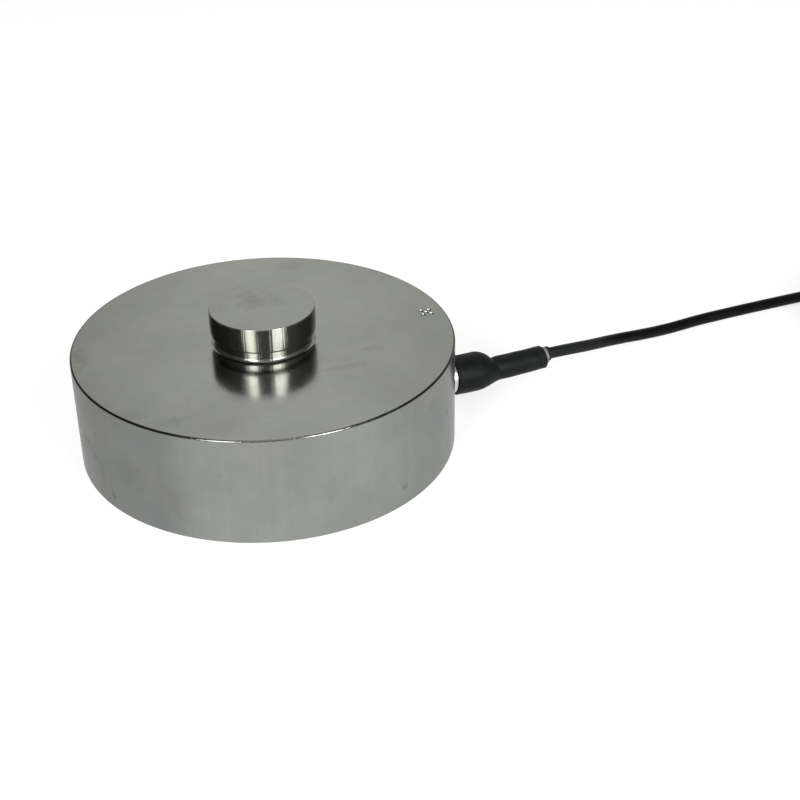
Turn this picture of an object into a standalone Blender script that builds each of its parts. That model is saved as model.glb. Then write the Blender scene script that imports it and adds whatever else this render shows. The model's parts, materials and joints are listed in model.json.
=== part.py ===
"""Low-profile compression force sensor with a fixed cable.

The body, its load button, the thick web under the plate and the central boss
are one turned piece of stainless steel. A thin cover closes the chamber below,
which holds the strain gauges and the terminal board. The cable leaves through
a steel nipple in the side, under two layers of shrink sleeve.

The axis of the body is Z, the base stands on Z = 0 and the cable leaves
along +X.
"""

import math

import bmesh
import bpy
from mathutils import Matrix, Vector
from mathutils.geometry import interpolate_bezier

MM = 0.001

# Clearances between separate pieces
FIT_GAP = 0.3 * MM
SHRINK_GAP = 0.18 * MM

# Body
BODY_RADIUS = 45.0 * MM
BODY_HEIGHT = 26.5 * MM
PLATE_EDGE = 0.3 * MM
FOOT_EDGE = 0.6 * MM
FOOT_RING_WIDTH = 9.0 * MM
COVER_LEDGE_WIDTH = 2.5 * MM
WEB_THICKNESS = 8.5 * MM
WEB_CORNER = 2.0 * MM

# Load button on the plate
BUTTON_RADIUS = 12.4 * MM
BUTTON_RISE = 8.8 * MM
BUTTON_EDGE = 0.2 * MM
NECK_HEIGHT = 2.7 * MM
NECK_DEPTH = 1.15 * MM
NECK_FILLET = 0.9 * MM

# Boss under the web
BOSS_RADIUS = 13.0 * MM
BOSS_SHOULDER_WIDTH = 4.0 * MM
BOSS_EDGE = 0.5 * MM
OVERLOAD_GAP = 0.6 * MM

# Bottom cover
COVER_THICKNESS = 1.2 * MM
COVER_RECESS = 0.8 * MM
COVER_EDGE = 0.2 * MM

# Cable, its nipple and what seals it
CABLE_RADIUS = 1.5 * MM
OUTLET_ABOVE_LEDGE = 1.35 * MM
SPOT_FACE_DEPTH = 0.5 * MM
SEAL_WALL = 1.1 * MM
SEAL_RECESS = 0.8 * MM
NIPPLE_WALL = 1.2 * MM
NIPPLE_REACH = 9.0 * MM
NIPPLE_FLOOR = 2.5 * MM
NIPPLE_EDGE = 0.4 * MM
SHANK_WALL = 1.0 * MM
SHANK_INSIDE = 1.5 * MM
FERRULE_WALL = 0.7 * MM
FERRULE_LENGTH = 3.5 * MM
JACKET_PAST_FERRULE = 0.7 * MM

# Shrink sleeves, along the cable from the side of the body
MOUTH_AT = 2.85 * MM
SHOULDER_LENGTH = 5.0 * MM
NARROW_LENGTH = 14.1 * MM
WIDE_WALL = 0.37 * MM
NARROW_WALL = 0.76 * MM
NARROW_DROP = 0.45 * MM
SHOULDER_BULGE = 0.12 * MM
SLEEVE_EDGE = 0.15 * MM
INNER_SLEEVE_SETBACK = 2.2 * MM
INNER_SLEEVE_SHOWS = 2.0 * MM
INNER_SLEEVE_WALL = 0.18 * MM
GLUE_RING_WALL = 0.16 * MM
GLUE_RING_LENGTH = 0.85 * MM

# Terminal board with its parts
BOARD_RADIUS = 18.0 * MM
BOARD_THICKNESS = 1.6 * MM
BOARD_ABOVE_OUTLET = 2.35 * MM
RESISTOR_SIZE = (3.2 * MM, 1.6 * MM, 0.6 * MM)
RESISTOR_CIRCLE = 13.5 * MM
RESISTOR_ANGLES = (120.0, 180.0, 240.0)

# Strain gauges under the web
GAUGE_SIZE = (5.0 * MM, 3.0 * MM, 0.12 * MM)
GAUGE_CIRCLE = 21.0 * MM
GAUGE_ANGLES = (45.0, 135.0, 225.0, 315.0)
GAUGE_WIRE_RADIUS = 0.15 * MM
GAUGE_WIRE_INSET = 1.2 * MM
GAUGE_WIRE_LENGTH = 12.0 * MM

# Cores inside the cable
CORE_RADIUS = 0.38 * MM
CORE_HALF_PITCH = 0.55 * MM
CORE_PAD_PITCH = 2.4 * MM
CORE_PAD_INSET = 2.4 * MM

# Spare cable, wound in a neat coil beside the sensor
COIL_COLUMNS = 5
COIL_ROWS = 4
COIL_PITCH = 3.1 * MM
COIL_OUTER_TURN = 28.6 * MM
COIL_CORNER = 1.2 * MM
TIE_WIDTH = 8.0 * MM
TIE_THICKNESS = 0.7 * MM
TIE_ANGLE = 200.0
TIE_CORNER = 0.6 * MM

# Free end of the cable, on top of the coil
END_START_ANGLE = 84.0
END_STOP_ANGLE = 58.0
END_SLEEVE_WALL = 0.45 * MM
END_SLEEVE_OVERLAP = 7.0 * MM
END_SLEEVE_OVERHANG = 2.5 * MM
LEAD_LENGTH = 27.0 * MM
LEAD_SPREAD = 2.2 * MM
TIP_LENGTH = 5.0 * MM
TIP_RADIUS = 0.25 * MM

# Facets round each kind of piece
BODY_SEGMENTS = 96
COVER_SEGMENTS = 64
SMALL_SEGMENTS = 32
COIL_SEGMENTS = 48
FILLET_STEPS = 3
COIL_CORNER_STEPS = 2

# Heights and radii that follow from the sizes above
BUTTON_TOP = BODY_HEIGHT + BUTTON_RISE
HEAD_UNDERSIDE = BODY_HEIGHT + NECK_HEIGHT
NECK_RADIUS = BUTTON_RADIUS - NECK_DEPTH
RECESS_RADIUS = BODY_RADIUS - FOOT_RING_WIDTH
CAVITY_RADIUS = RECESS_RADIUS - COVER_LEDGE_WIDTH
WEB_UNDERSIDE = BODY_HEIGHT - WEB_THICKNESS
COVER_TOP = COVER_RECESS + COVER_THICKNESS
LEDGE_HEIGHT = COVER_TOP + FIT_GAP
BOSS_TIP = COVER_TOP + OVERLOAD_GAP
BOSS_TIP_RADIUS = BOSS_RADIUS - BOSS_SHOULDER_WIDTH

CABLE_BORE = CABLE_RADIUS + FIT_GAP
SEAL_RADIUS = CABLE_BORE + SEAL_WALL
NIPPLE_BORE = SEAL_RADIUS + FIT_GAP
NIPPLE_RADIUS = NIPPLE_BORE + NIPPLE_WALL
NIPPLE_END = BODY_RADIUS + NIPPLE_REACH
SHANK_RADIUS = CABLE_BORE + SHANK_WALL
SHANK_BORE = SHANK_RADIUS + FIT_GAP
OUTLET_HEIGHT = LEDGE_HEIGHT + OUTLET_ABOVE_LEDGE + SHANK_BORE
SHANK_END = CAVITY_RADIUS - SHANK_INSIDE
SPOT_FACE = BODY_RADIUS - SPOT_FACE_DEPTH
FERRULE_START = SHANK_END - FIT_GAP - FERRULE_LENGTH
JACKET_START = FERRULE_START - JACKET_PAST_FERRULE

BOARD_UNDERSIDE = OUTLET_HEIGHT + BOARD_ABOVE_OUTLET
BOARD_TOP = BOARD_UNDERSIDE + BOARD_THICKNESS
BOSS_SHOULDER = BOARD_TOP + FIT_GAP

INNER_SLEEVE_BORE = CABLE_RADIUS + SHRINK_GAP
INNER_SLEEVE_RADIUS = INNER_SLEEVE_BORE + INNER_SLEEVE_WALL
GLUE_RING_BORE = INNER_SLEEVE_RADIUS + SHRINK_GAP
WIDE_BORE = NIPPLE_RADIUS + SHRINK_GAP
WIDE_END = NIPPLE_REACH + FIT_GAP
OUTER_SLEEVE_END = WIDE_END + SHOULDER_LENGTH + NARROW_LENGTH

COIL_TURNS = [COIL_OUTER_TURN - COIL_PITCH * column for column in range(COIL_COLUMNS)]
COIL_OUTSIDE = COIL_TURNS[0] + CABLE_RADIUS
COIL_INSIDE = COIL_TURNS[-1] - CABLE_RADIUS
COIL_HEIGHT = COIL_PITCH * (COIL_ROWS - 1) + 2 * CABLE_RADIUS
END_SLEEVE_BORE = CABLE_RADIUS + SHRINK_GAP
END_SLEEVE_RADIUS = END_SLEEVE_BORE + END_SLEEVE_WALL
END_HEIGHT = COIL_HEIGHT + FIT_GAP + END_SLEEVE_RADIUS
LEAD_HEIGHT = COIL_HEIGHT + FIT_GAP + CORE_RADIUS

# The cable's route outside the body: distance from its side, distance to the
# left of the outlet's axis, and the share of the outlet's height still left
CABLE_ROUTE = (
    (0.0 * MM, 0.0 * MM, 1.0),
    (13.0 * MM, 0.0 * MM, 1.0),
    (21.0 * MM, 0.55 * MM, 1.02),
    (28.3 * MM, 1.4 * MM, 1.03),
    (35.0 * MM, 2.35 * MM, 0.95),
    (42.0 * MM, 3.75 * MM, 0.79),
    (48.5 * MM, 6.0 * MM, 0.56),
    (55.0 * MM, 8.1 * MM, 0.33),
    (62.0 * MM, 9.65 * MM, 0.14),
    (70.0 * MM, 10.95 * MM, 0.03),
    (80.0 * MM, 12.55 * MM, 0.0),
    (92.0 * MM, 13.5 * MM, 0.0),
    (105.0 * MM, 14.2 * MM, 0.0),
    (120.0 * MM, 14.8 * MM, 0.0),
    (138.0 * MM, 15.1 * MM, 0.0),
)


def clear_scene():
    """Remove every object, so that the script can run in any file."""
    for old in list(bpy.data.objects):
        bpy.data.objects.remove(old, do_unlink=True)


def make_material(name, colour, roughness, metallic):
    """Return a Principled BSDF material."""
    material = bpy.data.materials.new(name)
    material.use_nodes = True
    shader = material.node_tree.nodes["Principled BSDF"]
    shader.inputs["Base Color"].default_value = (*colour, 1.0)
    shader.inputs["Roughness"].default_value = roughness
    shader.inputs["Metallic"].default_value = metallic
    return material


def link_object(name, data, material):
    """Put a mesh or a curve into the scene as a named object."""
    data.materials.append(material)
    item = bpy.data.objects.new(name, data)
    bpy.context.collection.objects.link(item)
    return item


def finish_mesh(name, shape, material, sharp_degrees=35.0):
    """Turn a bmesh into a named object with smooth rounds and crisp edges."""
    bmesh.ops.recalc_face_normals(shape, faces=shape.faces)
    mesh = bpy.data.meshes.new(name)
    shape.to_mesh(mesh)
    shape.free()
    mesh.shade_smooth()
    mesh.set_sharp_from_angle(angle=math.radians(sharp_degrees))
    return link_object(name, mesh, material)


def arc(centre, radius, start, stop, steps=FILLET_STEPS):
    """Points of a round corner in a profile, angles in degrees."""
    points = []
    for step in range(steps + 1):
        angle = math.radians(start + (stop - start) * step / steps)
        points.append((centre[0] + radius * math.cos(angle), centre[1] + radius * math.sin(angle)))
    return points


def turned(name, profile, segments, material, closed=False):
    """Turn a profile of (radius, height) points about Z.

    The profile runs down the outer side. An open one ends on the axis, and a
    closed one makes a ring.
    """
    shape = bmesh.new()
    verts = [shape.verts.new((radius, 0.0, height)) for radius, height in profile]
    for start, stop in zip(verts, verts[1:]):
        shape.edges.new((start, stop))
    if closed:
        shape.edges.new((verts[-1], verts[0]))
    mesh = bpy.data.meshes.new(name)
    shape.to_mesh(mesh)
    shape.free()
    item = link_object(name, mesh, material)
    screw = item.modifiers.new("turn", "SCREW")
    screw.axis = "Z"
    screw.angle = math.tau
    screw.steps = segments
    screw.render_steps = segments
    screw.use_merge_vertices = True
    screw.merge_threshold = 0.00001
    screw.use_smooth_shade = True
    return item


def point_along_x(item):
    """Lay a piece turned about Z along the outlet's axis."""
    item.rotation_euler = (0.0, math.radians(90.0), 0.0)
    item.location = (0.0, 0.0, OUTLET_HEIGHT)
    return item


def cut(item, cutter):
    """Subtract a hidden cutter from a piece."""
    cutter.hide_render = True
    cutter.display_type = "WIRE"
    boolean = item.modifiers.new("cut " + cutter.name, "BOOLEAN")
    boolean.operation = "DIFFERENCE"
    boolean.solver = "EXACT"
    boolean.object = cutter


def block(name, size, place, angle, material, edge=0.0):
    """A small box, turned about Z by an angle in degrees."""
    shape = bmesh.new()
    bmesh.ops.create_cube(shape, size=1.0, matrix=Matrix.Diagonal((*size, 1.0)))
    if edge:
        bmesh.ops.bevel(shape, geom=list(shape.edges), offset=edge, segments=1, affect="EDGES")
    item = finish_mesh(name, shape, material)
    item.location = place
    item.rotation_euler = (0.0, 0.0, math.radians(angle))
    return item


def smooth_line(points, pieces=12):
    """A dense smooth line through a few hand-placed points."""
    points = [Vector(point) for point in points]
    runs = [(b - a).length for a, b in zip(points, points[1:])]
    slopes = [(points[1] - points[0]) / runs[0]]
    for index in range(1, len(points) - 1):
        before = (points[index] - points[index - 1]) / runs[index - 1]
        after = (points[index + 1] - points[index]) / runs[index]
        both = runs[index - 1] + runs[index]
        slopes.append((before * runs[index] + after * runs[index - 1]) / both)
    slopes.append((points[-1] - points[-2]) / runs[-1])
    line = [points[0]]
    for index, run in enumerate(runs):
        handles = (
            points[index],
            points[index] + slopes[index] * run / 3,
            points[index + 1] - slopes[index + 1] * run / 3,
            points[index + 1],
        )
        line += interpolate_bezier(*handles, pieces + 1)[1:]
    return line


def place_on(line, distance):
    """Point and direction at a distance along a dense line."""
    for start, stop in zip(line, line[1:]):
        run = (stop - start).length
        if distance <= run:
            break
        distance -= run
    direction = (stop - start).normalized()
    return start + direction * distance, direction


def line_length(line):
    """Length of a dense line."""
    return sum((b - a).length for a, b in zip(line, line[1:]))


def tube(name, line, radius, spacing, material):
    """A round solid tube along a line, with closed ends."""
    count = max(2, math.ceil(line_length(line) / spacing) + 1)
    step = line_length(line) / (count - 1)
    curve = bpy.data.curves.new(name, "CURVE")
    curve.dimensions = "3D"
    curve.bevel_depth = radius
    curve.bevel_resolution = 2
    curve.use_fill_caps = True
    spline = curve.splines.new("POLY")
    spline.points.add(count - 1)
    for index, point in enumerate(spline.points):
        point.co = (*place_on(line, step * index)[0], 1.0)
    return link_object(name, curve, material)


def sleeve(name, line, profile, segments, material):
    """Sweep a closed profile of (distance, radius, drop) points along a line.

    The drop sets a ring below the line, where a sleeve hangs off centre.
    """
    shape = bmesh.new()
    rings = []
    for distance, radius, drop in profile:
        centre, along = place_on(line, distance)
        side = Vector((0.0, 0.0, 1.0)).cross(along).normalized()
        above = along.cross(side)
        centre = centre - above * drop
        ring = []
        for index in range(segments):
            angle = math.tau * index / segments
            ring.append(shape.verts.new(centre + (side * math.cos(angle) + above * math.sin(angle)) * radius))
        rings.append(ring)
    for ring, following in zip(rings, rings[1:] + rings[:1]):
        for index in range(segments):
            beside = (index + 1) % segments
            shape.faces.new((ring[index], ring[beside], following[beside], following[index]))
    return finish_mesh(name, shape, material)


def sensor_body(steel):
    """Body, load button, web and boss, turned from one bar."""
    profile = [
        (0.0, BUTTON_TOP),
        (BUTTON_RADIUS - BUTTON_EDGE, BUTTON_TOP),
        (BUTTON_RADIUS, BUTTON_TOP - BUTTON_EDGE),
        (BUTTON_RADIUS, HEAD_UNDERSIDE + BUTTON_EDGE),
        (BUTTON_RADIUS - BUTTON_EDGE, HEAD_UNDERSIDE),
        (NECK_RADIUS, HEAD_UNDERSIDE),
    ]
    fillet = min(NECK_FILLET, 0.9 * NECK_HEIGHT)
    profile += arc((NECK_RADIUS + fillet, BODY_HEIGHT + fillet), fillet, 180.0, 270.0)
    profile += [
        (BODY_RADIUS - PLATE_EDGE, BODY_HEIGHT),
        (BODY_RADIUS, BODY_HEIGHT - PLATE_EDGE),
    ]
    profile += arc((BODY_RADIUS - FOOT_EDGE, FOOT_EDGE), FOOT_EDGE, 0.0, -90.0)
    profile += [
        (RECESS_RADIUS, 0.0),
        (RECESS_RADIUS, LEDGE_HEIGHT),
        (CAVITY_RADIUS, LEDGE_HEIGHT),
    ]
    corner = min(WEB_CORNER, 0.8 * (WEB_UNDERSIDE - BOSS_SHOULDER))
    profile += arc((CAVITY_RADIUS - corner, WEB_UNDERSIDE - corner), corner, 0.0, 90.0)
    profile += arc((BOSS_RADIUS + corner, WEB_UNDERSIDE - corner), corner, 90.0, 180.0)
    profile += [
        (BOSS_RADIUS, BOSS_SHOULDER),
        (BOSS_TIP_RADIUS, BOSS_SHOULDER),
        (BOSS_TIP_RADIUS, BOSS_TIP + BOSS_EDGE),
        (BOSS_TIP_RADIUS - BOSS_EDGE, BOSS_TIP),
        (0.0, BOSS_TIP),
    ]
    body = turned("sensor_body", profile, BODY_SEGMENTS, steel)

    spot_radius = NIPPLE_RADIUS + FIT_GAP
    outside = BODY_RADIUS + FOOT_RING_WIDTH
    inside = SHANK_END - SHANK_INSIDE
    cutter_profile = [
        (0.0, outside),
        (spot_radius, outside),
        (spot_radius, SPOT_FACE),
        (SHANK_BORE, SPOT_FACE),
        (SHANK_BORE, inside),
        (0.0, inside),
    ]
    cutter = turned("outlet_cutter", cutter_profile, SMALL_SEGMENTS, steel)
    cut(body, point_along_x(cutter))
    return body


def bottom_cover(steel):
    """Thin disc welded into the recess of the base."""
    radius = RECESS_RADIUS - FIT_GAP
    profile = [
        (0.0, COVER_TOP),
        (radius, COVER_TOP),
        (radius, COVER_RECESS + COVER_EDGE),
        (radius - COVER_EDGE, COVER_RECESS),
        (0.0, COVER_RECESS),
    ]
    return turned("bottom_cover", profile, COVER_SEGMENTS, steel)


def cable_nipple(steel):
    """Outlet tube with a shank through the wall and a cup for the seal."""
    collar_back = SPOT_FACE + FIT_GAP
    cup_floor = collar_back + NIPPLE_FLOOR
    profile = [
        (NIPPLE_BORE, NIPPLE_END),
        (NIPPLE_RADIUS - NIPPLE_EDGE, NIPPLE_END),
        (NIPPLE_RADIUS, NIPPLE_END - NIPPLE_EDGE),
        (NIPPLE_RADIUS, collar_back),
        (SHANK_RADIUS, collar_back),
        (SHANK_RADIUS, SHANK_END),
        (CABLE_BORE, SHANK_END),
        (CABLE_BORE, cup_floor),
        (NIPPLE_BORE, cup_floor),
    ]
    return point_along_x(turned("cable_nipple", profile, SMALL_SEGMENTS, steel, closed=True))


def seal_bush(rubber):
    """Rubber bush between the cable and the nipple."""
    start = SPOT_FACE + 2 * FIT_GAP + NIPPLE_FLOOR
    stop = NIPPLE_END - SEAL_RECESS
    profile = [(CABLE_BORE, stop), (SEAL_RADIUS, stop), (SEAL_RADIUS, start), (CABLE_BORE, start)]
    return point_along_x(turned("seal_bush", profile, SMALL_SEGMENTS, rubber, closed=True))


def crimp_ferrule(brass):
    """Ferrule that stops the cable from being pulled out."""
    radius = CABLE_BORE + FERRULE_WALL
    stop = FERRULE_START + FERRULE_LENGTH
    profile = [(CABLE_BORE, stop), (radius, stop), (radius, FERRULE_START), (CABLE_BORE, FERRULE_START)]
    return point_along_x(turned("crimp_ferrule", profile, SMALL_SEGMENTS, brass, closed=True))


def cable_line():
    """The cable's whole smooth line, from inside the body to the coil."""
    drop = OUTLET_HEIGHT - CABLE_RADIUS
    inside = ((JACKET_START, 0.0, OUTLET_HEIGHT), (SHANK_END, 0.0, OUTLET_HEIGHT))
    outside = [(BODY_RADIUS + out, left, CABLE_RADIUS + drop * share) for out, left, share in CABLE_ROUTE]
    return smooth_line([*inside, *outside])


def coil_centre():
    """Centre of the coil, which the cable meets on its outer turn."""
    out, left, _ = CABLE_ROUTE[-1]
    return Vector((BODY_RADIUS + out, left - COIL_OUTER_TURN, 0.0))


def outer_sleeve(line, rubber):
    """Shrink sleeve over the nipple and the cable, hanging low at its end."""
    start = BODY_RADIUS - JACKET_START
    mouth = start + MOUTH_AT
    wide_end = start + WIDE_END
    narrow_start = wide_end + SHOULDER_LENGTH
    end = start + OUTER_SLEEVE_END
    wide = WIDE_BORE + WIDE_WALL
    narrow = GLUE_RING_BORE + NARROW_WALL
    profile = [
        (mouth, wide - SLEEVE_EDGE, 0.0),
        (mouth + SLEEVE_EDGE, wide, 0.0),
        ((mouth + wide_end) / 2, wide - SHOULDER_BULGE / 2, 0.0),
        (wide_end, wide, 0.0),
    ]
    steps = 6
    for step in range(1, steps):
        share = step / steps
        fall = 0.5 - 0.5 * math.cos(math.pi * share)
        bulge = SHOULDER_BULGE * math.sin(math.tau * share)
        profile.append((wide_end + SHOULDER_LENGTH * share, wide + (narrow - wide) * fall + bulge, 0.0))
    steps = 4
    for step in range(steps + 1):
        share = step / steps
        distance = narrow_start + (end - SLEEVE_EDGE - narrow_start) * share
        profile.append((distance, narrow - SHOULDER_BULGE * share, NARROW_DROP * share))
    profile += [
        (end, narrow - SHOULDER_BULGE - SLEEVE_EDGE, NARROW_DROP),
        (end, GLUE_RING_BORE, 0.0),
        ((narrow_start + end) / 2, GLUE_RING_BORE, 0.0),
        (narrow_start, GLUE_RING_BORE, 0.0),
        ((wide_end + narrow_start) / 2, (WIDE_BORE + GLUE_RING_BORE) / 2, 0.0),
        (wide_end, WIDE_BORE, 0.0),
        (mouth, WIDE_BORE, 0.0),
    ]
    sleeve("outer_sleeve", line, profile, SMALL_SEGMENTS, rubber)


def even_tube_profile(first, last, bore, radius, steps):
    """Profile of a plain sleeve between two distances along a line."""
    along = [first + (last - first) * step / steps for step in range(steps + 1)]
    profile = [(distance, radius, 0.0) for distance in along]
    profile += [(distance, bore, 0.0) for distance in reversed(along)]
    return profile


def inner_sleeve(line, film, glue):
    """Thin first sleeve on the cable, and the glue squeezed out round it."""
    start = BODY_RADIUS - JACKET_START
    first = start + NIPPLE_REACH + INNER_SLEEVE_SETBACK
    last = start + OUTER_SLEEVE_END + INNER_SLEEVE_SHOWS
    profile = even_tube_profile(first, last, INNER_SLEEVE_BORE, INNER_SLEEVE_RADIUS, 5)
    sleeve("inner_sleeve", line, profile, SMALL_SEGMENTS // 2, film)

    first = start + OUTER_SLEEVE_END + FIT_GAP
    last = first + GLUE_RING_LENGTH
    profile = even_tube_profile(first, last, GLUE_RING_BORE, GLUE_RING_BORE + GLUE_RING_WALL, 1)
    sleeve("glue_ring", line, profile, SMALL_SEGMENTS, glue)


def terminal_board(laminate, ceramic):
    """Ring board under the boss's shoulder, with three resistors below it."""
    bore = BOSS_TIP_RADIUS + FIT_GAP
    profile = [
        (bore, BOARD_TOP),
        (BOARD_RADIUS, BOARD_TOP),
        (BOARD_RADIUS, BOARD_UNDERSIDE),
        (bore, BOARD_UNDERSIDE),
    ]
    turned("terminal_board", profile, COVER_SEGMENTS, laminate, closed=True)
    height = BOARD_UNDERSIDE - FIT_GAP - RESISTOR_SIZE[2] / 2
    for number, degrees in enumerate(RESISTOR_ANGLES, start=1):
        angle = math.radians(degrees)
        place = (RESISTOR_CIRCLE * math.cos(angle), RESISTOR_CIRCLE * math.sin(angle), height)
        block(f"balance_resistor_{number}", RESISTOR_SIZE, place, degrees + 90.0, ceramic)


def strain_gauges(foil, wire):
    """Four gauges under the web, each with its wire down to the board.

    A wire is cut longer than its way, so it bows to one side between its ends.
    """
    under = WEB_UNDERSIDE - FIT_GAP
    for number, degrees in enumerate(GAUGE_ANGLES, start=1):
        out = Vector((math.cos(math.radians(degrees)), math.sin(math.radians(degrees)), 0.0))
        place = out * GAUGE_CIRCLE + Vector((0.0, 0.0, under - GAUGE_SIZE[2] / 2))
        block(f"strain_gauge_{number}", GAUGE_SIZE, place, degrees, foil)
        top = under - GAUGE_SIZE[2] - FIT_GAP
        foot = BOARD_TOP + FIT_GAP
        start = GAUGE_CIRCLE - GAUGE_SIZE[0] / 3
        stop = BOARD_RADIUS - GAUGE_WIRE_INSET
        span = math.hypot(start - stop, top - foot)
        length = max(GAUGE_WIRE_LENGTH, 1.05 * span)
        bow = math.sqrt(length**2 - span**2) / 2
        across = Vector((-out.y, out.x, 0.0))
        line = smooth_line(
            [
                out * start + Vector((0.0, 0.0, top)),
                out * start + across * bow / 4 + Vector((0.0, 0.0, top - (top - foot) / 5)),
                out * (start + stop) / 2 + across * bow + Vector((0.0, 0.0, (top + foot) / 2)),
                out * stop + across * bow / 4 + Vector((0.0, 0.0, foot + (top - foot) / 5)),
                out * stop + Vector((0.0, 0.0, foot)),
            ]
        )
        tube(f"gauge_wire_{number}", line, GAUGE_WIRE_RADIUS, length / 9, wire)


def core_places():
    """Where the four cores lie in the cable, as shares of half their pitch."""
    return (("red", -1, 1), ("black", -1, -1), ("green", 1, -1), ("white", 1, 1))


def cable_cores(colours):
    """The cores from the end of the jacket to the board's underside."""
    start = JACKET_START - FIT_GAP
    stop = BOARD_RADIUS - CORE_PAD_INSET
    under = BOARD_UNDERSIDE - FIT_GAP - CORE_RADIUS
    for index, (name, side, rise) in enumerate(core_places()):
        left = CORE_HALF_PITCH * side
        height = OUTLET_HEIGHT + CORE_HALF_PITCH * rise
        pad = CORE_PAD_PITCH * (index - 1.5)
        middle = (start + stop) / 2
        line = smooth_line(
            [
                (start, left, height),
                (start - (start - stop) / 6, left, height),
                (middle, (left + pad) / 2, (height + under) / 2),
                (stop + (start - stop) / 6, pad, under),
                (stop, pad, under),
            ]
        )
        tube(f"core_{name}", line, CORE_RADIUS, 3 * CORE_RADIUS, colours[name])


def coil(jacket, strap):
    """Outer shape of the coiled cable, with a strap round it."""
    centre = coil_centre()
    corner = COIL_CORNER
    steps = COIL_CORNER_STEPS
    profile = arc((COIL_INSIDE + corner, COIL_HEIGHT - corner), corner, 180.0, 90.0, steps)
    profile += arc((COIL_OUTSIDE - corner, COIL_HEIGHT - corner), corner, 90.0, 0.0, steps)
    profile += arc((COIL_OUTSIDE - corner, corner), corner, 0.0, -90.0, steps)
    profile += arc((COIL_INSIDE + corner, corner), corner, -90.0, -180.0, steps)
    ring = turned("cable_coil", profile, COIL_SEGMENTS, jacket, closed=True)
    ring.location = centre

    half = TIE_WIDTH / 2
    inner = math.sqrt(COIL_INSIDE**2 - half**2) - FIT_GAP
    outer = COIL_OUTSIDE + FIT_GAP
    top = COIL_HEIGHT + FIT_GAP
    notch_size = (outer - inner + 4 * TIE_THICKNESS, TIE_WIDTH + 2 * FIT_GAP, 2 * (TIE_THICKNESS + FIT_GAP))
    turn = math.radians(TIE_ANGLE)
    out = Vector((math.cos(turn), math.sin(turn), 0.0))
    notch = block("tie_notch", notch_size, centre + out * (inner + outer) / 2, TIE_ANGLE, jacket)
    cut(ring, notch)

    shape = bmesh.new()
    loops = []
    for grow in (0.0, TIE_THICKNESS):
        corner = TIE_CORNER + grow
        left, right = inner - grow, outer + grow
        low, high = TIE_THICKNESS - grow, top + grow
        outline = arc((right - corner, high - corner), corner, 90.0, 0.0)
        outline += arc((right - corner, low + corner), corner, 0.0, -90.0)
        outline += arc((left + corner, low + corner), corner, -90.0, -180.0)
        outline += arc((left + corner, high - corner), corner, 180.0, 90.0)
        for across in (-half, half):
            loops.append([shape.verts.new((x, across, z)) for x, z in outline])
    near_in, far_in, near_out, far_out = loops
    count = len(near_in)
    for first, second in ((near_in, near_out), (far_in, far_out), (near_in, far_in), (near_out, far_out)):
        for index in range(count):
            beside = (index + 1) % count
            shape.faces.new((first[index], first[beside], second[beside], second[index]))
    tie = finish_mesh("coil_tie", shape, strap)
    tie.location = centre
    tie.rotation_euler = (0.0, 0.0, turn)


def coil_arc(start, stop, radius, height):
    """A dense line on a circle round the coil, angles in degrees."""
    centre = coil_centre()
    steps = 24
    line = []
    for step in range(steps + 1):
        angle = math.radians(start + (stop - start) * step / steps)
        line.append(centre + Vector((radius * math.cos(angle), radius * math.sin(angle), height)))
    return line


def free_end(jacket, rubber, colours, tin):
    """The cable's free end, its sleeve, and four stripped leads."""
    radius = COIL_OUTER_TURN - COIL_PITCH
    end_line = coil_arc(END_START_ANGLE, END_STOP_ANGLE, radius, END_HEIGHT)
    tube("cable_end", end_line, CABLE_RADIUS, 2 * CABLE_RADIUS, jacket)

    whole_line = coil_arc(END_START_ANGLE, END_STOP_ANGLE - 90.0, radius, END_HEIGHT)
    end = line_length(end_line)
    first = end - END_SLEEVE_OVERLAP
    last = end + END_SLEEVE_OVERHANG
    profile = even_tube_profile(first, last, END_SLEEVE_BORE, END_SLEEVE_RADIUS, 4)
    sleeve("end_sleeve", whole_line, profile, SMALL_SEGMENTS // 2, rubber)

    centre = coil_centre()
    turn_per_metre = math.degrees(1.0 / radius)
    gap_turn = FIT_GAP * turn_per_metre
    for index, (name, side, rise) in enumerate(core_places()):
        start_turn = END_STOP_ANGLE - gap_turn
        steps = 30
        dense = []
        for step in range(steps + 1):
            share = step / steps
            settle = min(1.0, share * 2.5)
            settle = settle * settle * (3.0 - 2.0 * settle)
            sideways = CORE_HALF_PITCH * side * (1.0 - settle) + LEAD_SPREAD * (index - 1.5) * settle
            height = (END_HEIGHT + CORE_HALF_PITCH * rise) * (1.0 - settle) + LEAD_HEIGHT * settle
            angle = math.radians(start_turn - LEAD_LENGTH * turn_per_metre * share)
            reach = radius + sideways
            dense.append(centre + Vector((reach * math.cos(angle), reach * math.sin(angle), height)))
        tube(f"lead_{name}", dense, CORE_RADIUS, 5 * CORE_RADIUS, colours[name])

        reach = radius + LEAD_SPREAD * (index - 1.5)
        tip_start = start_turn - (LEAD_LENGTH + FIT_GAP) * turn_per_metre
        tip_line = coil_arc(tip_start, tip_start - TIP_LENGTH * turn_per_metre, reach, LEAD_HEIGHT)
        tube(f"tip_{name}", tip_line, TIP_RADIUS, TIP_LENGTH / 3, tin)


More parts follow.
